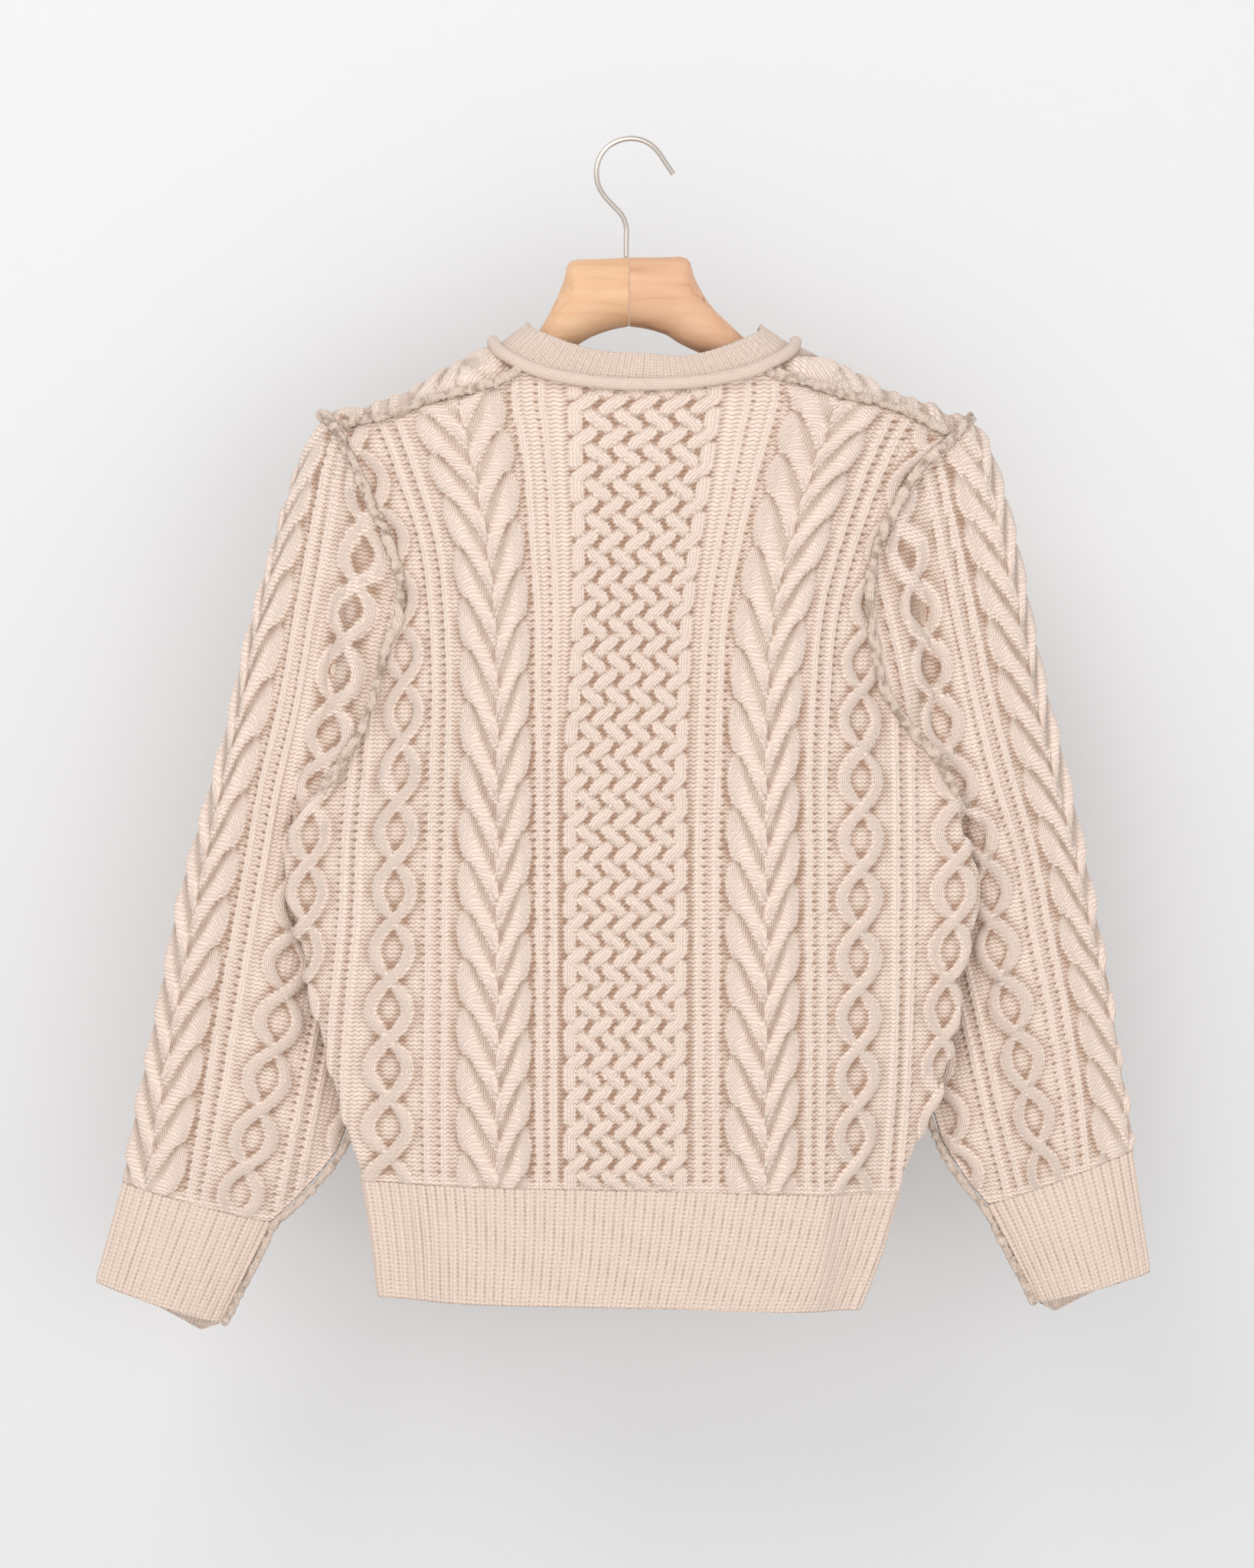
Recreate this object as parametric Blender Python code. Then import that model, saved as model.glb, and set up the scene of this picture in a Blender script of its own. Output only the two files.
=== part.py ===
"""Cable knit sweater on a wooden hanger.

Frame: metres, +Z up, +X to the right of the view, -Y towards the view (the garment's back),
+Y towards its front.  The origin is the underside of the hook's crest, where it is hung.
Tables are in millimetres; every mesh is written in metres.
"""
import math

import bpy
import numpy as np

for old in list(bpy.data.objects):
    bpy.data.objects.remove(old)

MM = 0.001
CLOTH = 2.6          # wall of the knitted panels and sleeves
RIB = 2.6            # wall of hem, cuffs and neckband
SEAM_GAP = 0.35      # how far each sewn edge stands back from the seam line
ARMHOLE_EASE = 0.5   # how much further the sleeve stands back at the armhole
UNDERARM_EASE = 1.6  # and how much further again in the underarm
CLEAR = 0.3          # air between a piece and what lies on it
RIDGE = 2.3          # radius of the raw seam allowances
ROLL = 3.7           # radius of the rolled linking edge under the neckband
WIRE = 1.7           # radius of the hook's wire

NECK_X = 9.5         # middle of the neck opening
SHOULDER_R = 40.0    # height over which the shoulder rounds out to full depth
FRONT_SHARE = 0.85   # depth of the front panel compared with the back panel

# Ridge of the shoulders, as the two sides meet over the hanger: x, z
RIDGE_LINE = [
    (-200, -176), (-190, -173), (-174, -169), (-154, -161), (-130, -153), (-106, -140),
    (-83, -129), (-60, -118), (-20, -108), (40, -108), (80, -118), (101, -129),
    (122, -138), (134, -144), (158, -154), (182, -162), (201, -171), (212, -175), (222, -179)]

# Shoulder seams and the back neckline between them: x, z
BACK_TOP = [
    (-181, -183), (-167, -179), (-153, -177), (-138, -173), (-127, -168), (-115, -165),
    (-96, -161), (-79, -156), (-69, -150), (-62, -146.5), (-40, -153), (-18, -156.5),
    (8, -158), (40, -157), (64, -153), (80, -148), (89, -151), (99, -154), (108, -156),
    (121, -161), (132, -164), (156, -168), (170, -173), (179, -177), (191, -183), (201, -187)]

# Half depth of the shoulders: x, mm
SHOULDER_DEPTH = [(-200, 17), (-181, 21), (-150, 27), (-100, 33), (-60, 34), (80, 34),
                  (120, 33), (170, 26), (201, 19), (215, 16)]

# Depth of the body against its shoulder depth: z, factor
BODY_DEPTH = [(-740, 0.80), (-690, 0.86), (-650, 0.94), (-600, 1.03), (-520, 1.10),
              (-430, 1.12), (-330, 1.08), (-230, 1.02), (-100, 1.0)]

# Levels from the shoulder to the hem.
# xl zl: left edge, xr zr: right edge, ye: depth of the edge, yf: depth of the front armhole,
# roll: radius of the side fold, tuck: how far the back panel wraps behind the fold
LEVEL_COLS = ("xl", "zl", "xr", "zr", "ye", "yf", "roll", "tuck")
LEVELS = [
    (-181, -183, 201, -187, -15, 12.7, 0.01, 0),
    (-170, -206, 181, -206, -20, 17, 0.01, 0),
    (-159, -229, 166, -229, -23, 19.5, 0.01, 0),
    (-149, -252, 155, -252, -24, 20, 0.01, 0),
    (-142, -275, 149, -275, -24, 20, 0.01, 0),
    (-142, -298, 149, -299, -24, 20, 0.01, 0),
    (-151, -321, 152, -322, -23, 19, 0.01, 0),
    (-157, -345, 158, -345, -22, 18, 0.01, 0),
    (-165, -368, 172, -368, -21, 15, 0.5, 0),
    (-181, -395, 194, -395, -19, 12, 0.01, 0),
    (-201, -421, 205, -420, -17, 6, 4, 5),
    (-214, -437, 211, -440, -16, -10, 6, 10),
    (-215, -460, 219, -460, -16, -10, 6, 10),
    (-210, -484, 218, -483, -16, -10, 6, 10),
    (-203, -510, 210, -508, -16, -10, 6, 10),
    (-197, -538, 205, -536, -16, -10, 6, 10),
    (-190, -570, 202, -566, -15, -9, 6, 10),
    (-181, -602, 190, -602, -14, -8, 6, 10),
    (-174, -628, 178, -632, -12, -6, 6, 10),
    (-167, -650, 168, -658, -10, -4, 6, 10),
    (-161, -687, 158, -695, -7, -1, 6, 10),
    (-157, -723, 145, -731, -5, 1, 6, 10)]
UNDERARM = 11        # level where body and sleeve meet
RIB_LINE = 19        # level where the hem rib starts
HEM_END = 21

# Front neckline level, from armhole to armhole: x, z
FRONT_TOP = [(-170, -206), (-140, -200), (-110, -190), (-80, -178), (-58, -170), (-40, -182),
             (-18, -192), (9, -196), (37, -192), (59, -182), (77, -170), (100, -178),
             (125, -188), (155, -199), (181, -206)]
FRONT_NECK = (-58, 77)

# Shoulder flap of the front panel, from the seam over the ridge: turn, x at the armhole,
# x at the neck (left), x at the armhole, x at the neck (right)
FLAP = [(0.0, -181, -62, 201, 80), (0.25, -187, -78.5, 208, 96.5), (0.5, -190, -83, 212, 101),
        (0.75, -187, -81.5, 208, 99.5), (1.0, -181, -76, 201, 94)]

# Sleeves from the armhole to the cuff.
# xo zo: outer fold, xi zi: seam side, yo yi: their depths, hb hf: half depth towards the back
# and the front of the garment, join: share of the armhole's own shape
SLEEVE_COLS = ("xo", "zo", "xi", "zi", "yo", "yi", "hb", "hf", "join")
SLEEVE_LEFT = [
    (-190, -173, -207, -437, 0, -8, 22, 20, 1.0),
    (-201, -192, -214, -435, 0, -3, 22, 20, 0.66),
    (-212, -222, -216, -440, 0, 3, 21, 19, 0.40),
    (-224, -262, -212, -453, 0, 7, 20, 18, 0.18),
    (-239, -314, -205, -474, 0, 10, 19, 17, 0.05),
    (-251, -367, -198, -502, 0, 11, 18, 15, 0.0),
    (-266, -421, -191, -536, 0, 11, 17, 14, 0.0),
    (-281, -473, -185, -566, 0, 11, 16, 13, 0.0),
    (-291, -525, -180, -592, 0, 10, 15, 12, 0.0),
    (-301, -573, -177, -616, 0, 8, 15, 12, 0.0),
    (-309, -612, -187, -638, -1, 5, 14, 11, 0.0),
    (-313, -634, -205, -659, -1, 3, 13, 11, 0.0),
    (-317, -652, -225, -678, -2, 1, 12, 10, 0.0)]
SLEEVE_RIGHT = [
    (212, -175, 204, -440, 0, -8, 22, 20, 1.0),
    (223, -188, 208, -444, 0, -3, 22, 20, 0.74),
    (235, -220, 209, -450, 0, 3, 21, 19, 0.46),
    (244, -255, 208, -461, 0, 7, 20, 18, 0.22),
    (252, -300, 205, -479, 0, 10, 19, 17, 0.07),
    (261, -345, 202, -503, 0, 11, 18, 15, 0.0),
    (272, -390, 198, -534, 0, 11, 17, 14, 0.0),
    (283, -442, 195, -562, 0, 11, 16, 13, 0.0),
    (292, -488, 192, -584, 0, 10, 15, 12, 0.0),
    (300, -535, 190, -604, 0, 8, 15, 12, 0.0),
    (306, -577, 198, -629, -1, 5, 14, 11, 0.0),
    (311, -606, 210, -649, -1, 3, 13, 11, 0.0),
    (315, -632, 225, -667, -2, 1, 12, 10, 0.0)]

# Cuffs: same columns as the sleeves; drop is how much lower the far layer hangs
CUFF_LEFT = [
    (-317, -652, -225, -678, -2, 1, 12, 10, 0.0),
    (-325, -682, -240, -708, -2, 1, 12, 11, 0.0),
    (-334, -714, -257, -741, -2, 1, 12, 11, 0.0)]
CUFF_RIGHT = [
    (315, -632, 225, -667, -2, 1, 12, 10, 0.0),
    (320, -668, 241, -697, -2, 1, 12, 11, 0.0),
    (326, -708, 257, -728, -2, 1, 12, 11, 0.0)]
CUFF_DROP = [(0.0, 0.0), (0.3, 2.0), (0.6, 6.0), (0.85, 9.0), (1.0, 0.0)]

# Largest folds on the back: x0 z0 x1 z1, half width, height towards the view
FOLDS = [
    (-171, -285, -175, -348, 7, 6.0),
    (-184, -290, -189, -380, 8, -6.0),
    (168, -262, 175, -345, 7, 5.5),
    (182, -262, 190, -370, 7, -6.0),
    (119, -640, 117, -740, 9, 3.5),
    (-70, -560, -78, -740, 22, 2.5),
    (30, -600, 26, -740, 24, -2.0)]

# Neckband, one quarter on the back and one on the front: base x z, then top x y z (left side)
NECK_BACK = [(-83, -129, -63, 0, -114), (-81.5, -132, -62.5, -12, -116.5),
             (-78, -137, -60, -19, -119.5), (-71, -142, -53, -24, -123.5),
             (-62, -146.5, -43, -27, -128), (-38, -153.5, -22, -29, -134.5),
             (8, -158, 9.5, -30, -137)]
NECK_FRONT = [(-83, -129, -63, 0, -114), (-82.5, -133, -62.5, 12, -118),
              (-81, -141, -60, 18, -127), (-76, -153, -54, 22, -139),
              (-58, -170, -42, 24, -153), (-24, -190, -21, 25, -168),
              (9.5, -196, 9.5, 26, -174)]

# Hanger arms from the mitre to the tip: upper x z, lower x z, half thickness
ARM_LEFT = [
    (0, -73, 0, -116, 15), (20, -74, 12, -118.5, 15), (37, -75.5, 23, -122.5, 15),
    (41, -88, 30, -126.5, 14), (48, -104, 38, -131.5, 12.5), (57, -119.5, 50, -142, 11),
    (70, -131, 65, -153, 10), (90, -139.5, 86, -161, 10), (112, -149.5, 107, -172, 10),
    (136, -162, 131, -183.5, 9.5), (158, -169.5, 154, -189, 9), (172, -176, 168, -192, 6.5)]
ARM_RIGHT = [
    (0, -73, 0, -116, 15), (20, -73, 12, -118, 15), (36, -73.5, 23, -121.5, 15),
    (41, -86, 30, -126, 14), (50, -102, 40, -131, 12.5), (62, -114, 54, -137, 11),
    (76, -126, 70, -147, 10), (98, -134, 93, -156, 10), (122, -144, 118, -166, 10),
    (146, -154.5, 142, -176, 9.5), (164, -161.5, 160, -182, 9), (178, -168, 174, -185, 6.5)]

# Centre line of the hook: x, z
HOOK = [(-1.9, -72.6), (-1.9, -62), (-2.0, -53), (-4.0, -47.4), (-9.5, -41), (-15.5, -34.5),
        (-19.4, -27.5), (-20.6, -20), (-19.0, -11.5), (-14.2, -4.2), (-7.5, 0.0), (0.0, 1.7),
        (7.6, 0.8), (14.0, -2.6), (19.0, -7.8), (22.8, -13.6), (27.6, -20.6)]


def column(table, names, name):
    return np.array([row[names.index(name)] for row in table], dtype=float)


def smooth(knots, values, at):
    """Cubic curve through a short table, with tangents from its neighbours."""
    knots = np.asarray(knots, dtype=float)
    values = np.asarray(values, dtype=float)
    at = np.clip(np.asarray(at, dtype=float), knots[0], knots[-1])
    slope = np.gradient(values, knots)
    i = np.clip(np.searchsorted(knots, at, side="right") - 1, 0, len(knots) - 2)
    h = knots[i + 1] - knots[i]
    s = (at - knots[i]) / h
    a = 2 * s**3 - 3 * s**2 + 1
    b = s**3 - 2 * s**2 + s
    c = -2 * s**3 + 3 * s**2
    d = s**3 - s**2
    return a * values[i] + b * h * slope[i] + c * values[i + 1] + d * h * slope[i + 1]


def line(table, at):
    xs, zs = zip(*table)
    return np.interp(at, xs, zs)


def ease(v):
    v = np.clip(v, 0.0, 1.0)
    return v * v * (3 - 2 * v)


def half_depth(x, z):
    """Depth of the body's outside from its middle plane."""
    below = np.clip((line(RIDGE_LINE, x) - z) / SHOULDER_R, 0.0, 1.0)
    swell = np.sqrt(1 - (1 - below) ** 2)
    return line(SHOULDER_DEPTH, x) * swell * line(BODY_DEPTH, z)


def folds(x, z):
    total = 0.0
    for x0, z0, x1, z1, width, height in FOLDS:
        run = np.array([x1 - x0, z1 - z0], dtype=float)
        length = np.hypot(*run)
        run /= length
        along = (x - x0) * run[0] + (z - z0) * run[1]
        across = (x - x0) * run[1] - (z - z0) * run[0]
        taper = ease((along + 20) / 40) * ease((length + 20 - along) / 40)
        total = total + height * taper * np.exp(-((across / width) ** 2))
    return total


def level(name, t):
    return smooth(range(len(LEVELS)), column(LEVELS, LEVEL_COLS, name), t)


def edge_shift(a, roll):
    """x and y offsets of cloth at distance a from the side fold (a < 0 is behind it)."""
    turn = np.clip(a / roll, -math.pi / 2, math.pi / 2)
    out = roll * (1 - math.cos(turn)) + max(0.0, abs(a) - math.pi * roll / 2)
    return out, -roll * math.sin(turn)


SIDE_COLS = 3
MID_COLS = 14
BACK_N = 2 * SIDE_COLS + MID_COLS


def back_point(i, t):
    """Column i, level t of the back panel and of the back of the hem."""
    roll = max(level("roll", t), 0.01)
    tuck = max(level("tuck", t), 0.0)
    xl, xr = level("xl", t), level("xr", t)
    width = xr - xl + 1.14 * roll
    bend = math.pi * roll / 2 + 4
    if i <= SIDE_COLS:
        a = -tuck + (bend + tuck) * i / SIDE_COLS
    elif i >= SIDE_COLS + MID_COLS:
        a = width + tuck - (bend + tuck) * (BACK_N - i) / SIDE_COLS
    else:
        a = bend + (width - 2 * bend) * (i - SIDE_COLS) / MID_COLS
    b = width - a
    ye = level("ye", t)
    if a < width / 2:
        shift, yedge = edge_shift(a, roll)
        x = xl + shift
        inside = ease((a - math.pi * roll / 2) / 45)
    else:
        shift, yedge = edge_shift(b, roll)
        x = xr - shift
        inside = ease((b - math.pi * roll / 2) / 45)
    share = (x - xl) / (xr - xl)
    z = level("zl", t) + (level("zr", t) - level("zl", t)) * share
    if t < 6:
        x0 = -181 + 382 * share
        lift = line(BACK_TOP, x0) - (-183 - 4 * share)
        z += lift * (1 - ease(t / 6))
    inside = max(inside, 1 - t) if t < 1 else inside
    y = (ye + yedge) * (1 - inside) - half_depth(x, z) * inside
    y -= folds(x, z) * ease(a / 8) * ease(b / 8) if 0 < a < width else 0.0
    return (x, y, z)


def side_point(side, t):
    """Sewn edge of the back panel at level t."""
    return back_point(0 if side == "left" else BACK_N, t)


def front_side(side, t):
    """Sewn edge of the front panel at level t."""
    x, y, z = side_point(side, t)
    if t < UNDERARM:
        y = float(level("yf", t))
    return (x, y, z)


NECK_COLS = 6
SHOULDER_COLS = 6
FRONT_N = 2 * SHOULDER_COLS + NECK_COLS


def front_share(i):
    """Place of column i across the front panel, 0 to 1."""
    first = (FRONT_NECK[0] + 170) / 351
    last = (FRONT_NECK[1] + 170) / 351
    if i <= SHOULDER_COLS:
        return first * (i / SHOULDER_COLS) ** 1.25
    if i >= FRONT_N - SHOULDER_COLS:
        return 1 - (1 - last) * ((FRONT_N - i) / SHOULDER_COLS) ** 1.25
    return first + (last - first) * (i - SHOULDER_COLS) / NECK_COLS


def front_point(i, t):
    """Column i, level t (1 and below) of the front panel."""
    left, right = front_side("left", t), front_side("right", t)
    share = front_share(i)
    x = left[0] + (right[0] - left[0]) * share
    z = left[2] + (right[2] - left[2]) * share
    if t < 7:
        lift = line(FRONT_TOP, -170 + 351 * share) + 206
        z += lift * (1 - ease((t - 1) / 6))
    reach = 70 if t >= UNDERARM else 45
    side = left if share < 0.5 else right
    inside = ease(abs(x - side[0]) / reach)
    y = side[1] * (1 - inside) + FRONT_SHARE * half_depth(x, z) * inside
    return (x, y, z)


def flap_point(side, c, q):
    """Shoulder flap: c from armhole (0) to neck (1), q from the seam (0) over to the front (1)."""
    turn = [row[0] for row in FLAP]
    cols = (1, 2) if side == "left" else (3, 4)
    xa = smooth(turn, [row[cols[0]] for row in FLAP], q)
    xn = smooth(turn, [row[cols[1]] for row in FLAP], q)
    x = xa + (xn - xa) * c
    x0 = FLAP[0][cols[0]] + (FLAP[0][cols[1]] - FLAP[0][cols[0]]) * c
    drop = (line(RIDGE_LINE, x0) - line(BACK_TOP, x0)) * abs(1 - 2 * q) ** 1.6
    z = line(RIDGE_LINE, x) - drop
    y = half_depth(x, z) * (-1 if q < 0.5 else FRONT_SHARE)
    return (float(x), float(y), float(z))


def shoulder_share(i):
    return (i / SHOULDER_COLS) ** 1.25


PIECES = {}


def add_piece(name, verts, faces, outward, wall):
    """Keep a surface; outward is a direction or a point list the faces look away from."""
    verts = np.array(verts, dtype=float)
    faces = [tuple(f) for f in faces]
    score = 0.0
    for f in faces:
        a, b, c, d = (verts[k] for k in f)
        normal = np.cross(c - a, d - b)
        middle = (a + b + c + d) / 4
        score += float(np.dot(normal, outward(middle)))
    if score < 0:
        faces = [f[::-1] for f in faces]
    PIECES[name] = (verts, faces, wall)


def grid_faces(rows, cols, closed=False):
    faces = []
    for r in range(rows - 1):
        for c in range(cols if closed else cols - 1):
            d = (c + 1) % cols
            faces.append((r * cols + c, r * cols + d, (r + 1) * cols + d, (r + 1) * cols + c))
    return faces


# ---- back panel -------------------------------------------------------------------------
back_levels = list(range(0, RIB_LINE + 1))
verts = [back_point(i, t) for t in back_levels for i in range(BACK_N + 1)]
add_piece("back_panel", verts, grid_faces(len(back_levels), BACK_N + 1),
          lambda m: np.array([0.0, -1.0, 0.0]), CLOTH)

# ---- front panel with its shoulder flaps -------------------------------------------------
verts = []
faces = []
flap_turns = [0.0, 0.25, 0.5, 0.75, 1.0]
front_levels = list(range(1, RIB_LINE + 1))
base = len(flap_turns) * (SHOULDER_COLS + 1)
for side in ("left", "right"):
    for q in flap_turns:
        for i in range(SHOULDER_COLS + 1):
            c = shoulder_share(i)
            verts.append(flap_point(side, c, q))
            if i == 0 and q == 0.0:
                verts[-1] = side_point(side, 0)
main = len(verts)
for t in front_levels:
    for i in range(FRONT_N + 1):
        verts.append(front_point(i, t))
faces += [tuple(k + main for k in f) for f in grid_faces(len(front_levels), FRONT_N + 1)]
for n, side in enumerate(("left", "right")):
    start = n * base
    for f in grid_faces(len(flap_turns), SHOULDER_COLS + 1):
        quad = tuple(k + start for k in f)
        faces.append(quad if side == "left" else quad[::-1])
    last = start + base - (SHOULDER_COLS + 1)
    for i in range(SHOULDER_COLS):
        if side == "left":
            faces.append((last + i, last + i + 1, main + i + 1, main + i))
        else:
            faces.append((last + i + 1, last + i, main + FRONT_N - i, main + FRONT_N - i - 1))
add_piece("front_panel", verts, faces,
          lambda m: np.array([0.0, 1.0, 0.0]) if m[2] < -190 else np.array([0.0, 0.2, 1.0]), CLOTH)

# ---- hem rib -----------------------------------------------------------------------------
verts = []
hem_levels = [19, 20, 21]
for t in hem_levels:
    ring = [back_point(i, t) for i in range(BACK_N + 1)]
    ring += [front_point(i, t) for i in range(FRONT_N - 1, 0, -1)]
    verts += ring
add_piece("hem_rib", verts, grid_faces(3, BACK_N + FRONT_N, closed=True),
          lambda m: np.array([m[0] * 0.15, m[1], 0.0]), RIB)


# ---- sleeves and cuffs -------------------------------------------------------------------
def armhole(side):
    """Armhole loop: the back half from the ridge down, and the front half from the ridge down."""
    back = [flap_point(side, 0.0, q) for q in (0.5, 0.25)] + [side_point(side, 0)]
    back += [side_point(side, t) for t in range(1, UNDERARM + 1)]
    front = [flap_point(side, 0.0, q) for q in (0.5, 0.75, 1.0)]
    front += [front_side(side, t) for t in range(1, UNDERARM)] + [side_point(side, UNDERARM)]
    return np.array(back), np.array(front)


def along(points):
    step = np.linalg.norm(np.diff(points, axis=0), axis=1)
    total = np.concatenate([[0.0], np.cumsum(step)])
    return total / total[-1]


def section(row, share, towards):
    """Half section of a sleeve; towards is -1 for the back half and +1 for the front half."""
    xo, zo, xi, zi, yo, yi, hb, hf, _ = row
    belly = np.clip(4 * share * (1 - share), 0, 1) ** (0.5 + 0.5 * share)
    depth = hb if towards < 0 else hf
    return np.stack([xo + (xi - xo) * share, yo + (yi - yo) * share + towards * depth * belly,
                     zo + (zi - zo) * share], axis=1)


def sleeve_rings(side, table):
    back0, front0 = armhole(side)
    sb, sf = along(back0), along(front0)
    first_b, first_f = section(table[0], sb, -1), section(table[0], sf, 1)
    rings = []
    for row in table:
        b = section(row, sb, -1) + row[8] * (back0 - first_b)
        f = section(row, sf, 1) + row[8] * (front0 - first_f)
        if row[8] < 1:
            b[:, 1] -= folds(b[:, 0], b[:, 2]) * np.sin(math.pi * sb)
        rings.append(np.concatenate([b, f[-2:0:-1]]))
    return rings, sf


for side, table, cuff in (("left", SLEEVE_LEFT, CUFF_LEFT), ("right", SLEEVE_RIGHT, CUFF_RIGHT)):
    rings, sf = sleeve_rings(side, table)
    count = len(rings[0])
    axis = np.array([r.mean(axis=0) for r in rings])

    def away(m, axis=axis):
        near = axis[np.argmin(np.linalg.norm(axis - m, axis=1))]
        return m - near

    add_piece("sleeve_" + side, np.concatenate(rings), grid_faces(len(rings), count, True),
              away, CLOTH)
    cuffs, _ = sleeve_rings(side, table[:1] + cuff)
    cuffs = cuffs[1:]
    for n, ring in enumerate(cuffs):
        half = len(sf) - 1
        drop = line(CUFF_DROP, sf[-2:0:-1]) * n / (len(cuffs) - 1)
        ring[half + 1:, 2] -= drop
    cuff_axis = np.array([r.mean(axis=0) for r in cuffs])

    def away_cuff(m, axis=cuff_axis):
        near = axis[np.argmin(np.linalg.norm(axis - m, axis=1))]
        return m - near

    add_piece("cuff_" + side, np.concatenate(cuffs), grid_faces(len(cuffs), count, True),
              away_cuff, RIB)

# ---- neckband ----------------------------------------------------------------------------


def neck_loops():
    def side_y(x, z, towards):
        share = FRONT_SHARE if towards > 0 else 1.0
        return towards * share * float(half_depth(x, z))

    base, top = [], []
    quarters = ((NECK_BACK[::-1], -1, False), (NECK_FRONT[1:], 1, False),
                (NECK_FRONT[-2::-1], 1, True), (NECK_BACK[1:-1], -1, True))
    for table, towards, mirror in quarters:
        for bx, bz, tx, ty, tz in table:
            if mirror:
                bx, tx = 2 * NECK_X - bx, 2 * NECK_X - tx
                tz -= 3 if towards < 0 else 1
            base.append((bx, side_y(bx, bz, towards), bz))
            top.append((tx, ty, tz))
    return np.array(base), np.array(top)


def closed_curve(points, count):
    pad = np.concatenate([points[-3:], points, points[:4]])
    step = np.concatenate([[0.0], np.cumsum(np.linalg.norm(np.diff(pad, axis=0), axis=1))])
    start, end = step[3], step[3 + len(points)]
    at = start + (end - start) * np.arange(count) / count
    return np.stack([smooth(step, pad[:, k], at) for k in range(3)], axis=1), (at, step)


neck_base, neck_top = neck_loops()
NECK_N = 36
lower, (neck_at, neck_step) = closed_curve(neck_base, NECK_N)
pad_top = np.concatenate([neck_top[-3:], neck_top, neck_top[:4]])
upper = np.stack([smooth(neck_step, pad_top[:, k], neck_at) for k in range(3)], axis=1)
rise = (upper - lower) / np.linalg.norm(upper - lower, axis=1)[:, None]
band = np.concatenate([lower + rise * 1.2, (lower + upper) / 2, upper])
band_mid = np.array([NECK_X, 0.0, -150.0])
add_piece("neckband", band, grid_faces(3, NECK_N, True),
          lambda m: np.array([m[0] - NECK_X, m[1] * 2, 10.0]), RIB)

# ---- normals over the whole garment, so sewn edges are mitred ------------------------------
shared = {}
for name, (verts, faces, wall) in PIECES.items():
    if name == "neckband":
        continue
    keys = [tuple(np.round(v, 1)) for v in verts]
    for f in faces:
        a, b, c, d = (verts[k] for k in f)
        normal = np.cross(c - a, d - b)
        for k in f:
            shared[keys[k]] = shared.get(keys[k], 0.0) + normal


def seam_normal(v):
    """Outward normal of the back where the shoulder seams run."""
    x, z = v[0], v[2]
    slope_x = (half_depth(x + 1, z) - half_depth(x - 1, z)) / 2
    slope_z = (half_depth(x, z + 1) - half_depth(x, z - 1)) / 2
    return np.array([-slope_x, -1.0, -slope_z])


def on_shoulder_seam(v):
    inside = -180 < v[0] < -61 or 79 < v[0] < 200
    return inside and v[1] < -8 and abs(line(BACK_TOP, v[0]) - v[2]) < 1.0


def vertex_normals(name):
    verts, faces, wall = PIECES[name]
    normals = np.zeros_like(verts)
    for f in faces:
        a, b, c, d = (verts[k] for k in f)
        for k in f:
            normals[k] += np.cross(c - a, d - b)
    if name != "neckband":
        for k, v in enumerate(verts):
            normals[k] = shared[tuple(np.round(v, 1))]
            if name in ("back_panel", "front_panel") and on_shoulder_seam(v):
                normals[k] = seam_normal(v)
    return normals / np.linalg.norm(normals, axis=1)[:, None]


def boundary_edges(faces):
    count = {}
    for f in faces:
        for a, b in zip(f, f[1:] + f[:1]):
            count[(a, b)] = count.get((a, b), 0) + 1
    return [(a, b) for (a, b) in count if (b, a) not in count]


def material(name, colour, rough, metal=0.0):
    mat = bpy.data.materials.new(name)
    mat.use_nodes = True
    shader = mat.node_tree.nodes["Principled BSDF"]
    shader.inputs["Base Color"].default_value = (*colour, 1.0)
    shader.inputs["Roughness"].default_value = rough
    shader.inputs["Metallic"].default_value = metal
    mat.diffuse_color = (*colour, 1.0)
    return mat


def signed_volume(verts, faces):
    total = 0.0
    for f in faces:
        for k in range(1, len(f) - 1):
            total += np.dot(verts[f[0]], np.cross(verts[f[k]], verts[f[k + 1]]))
    return total / 6


def add_mesh(name, verts, faces, colour, rough=0.9, metal=0.0):
    if signed_volume(np.asarray(verts, dtype=float), faces) < 0:
        faces = [f[::-1] for f in faces]
    mesh = bpy.data.meshes.new(name)
    mesh.from_pydata([tuple(float(c) * MM for c in v) for v in verts], [], faces)
    mesh.update()
    obj = bpy.data.objects.new(name, mesh)
    bpy.context.scene.collection.objects.link(obj)
    mesh.materials.append(material(name, colour, rough, metal))
    return obj


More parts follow.
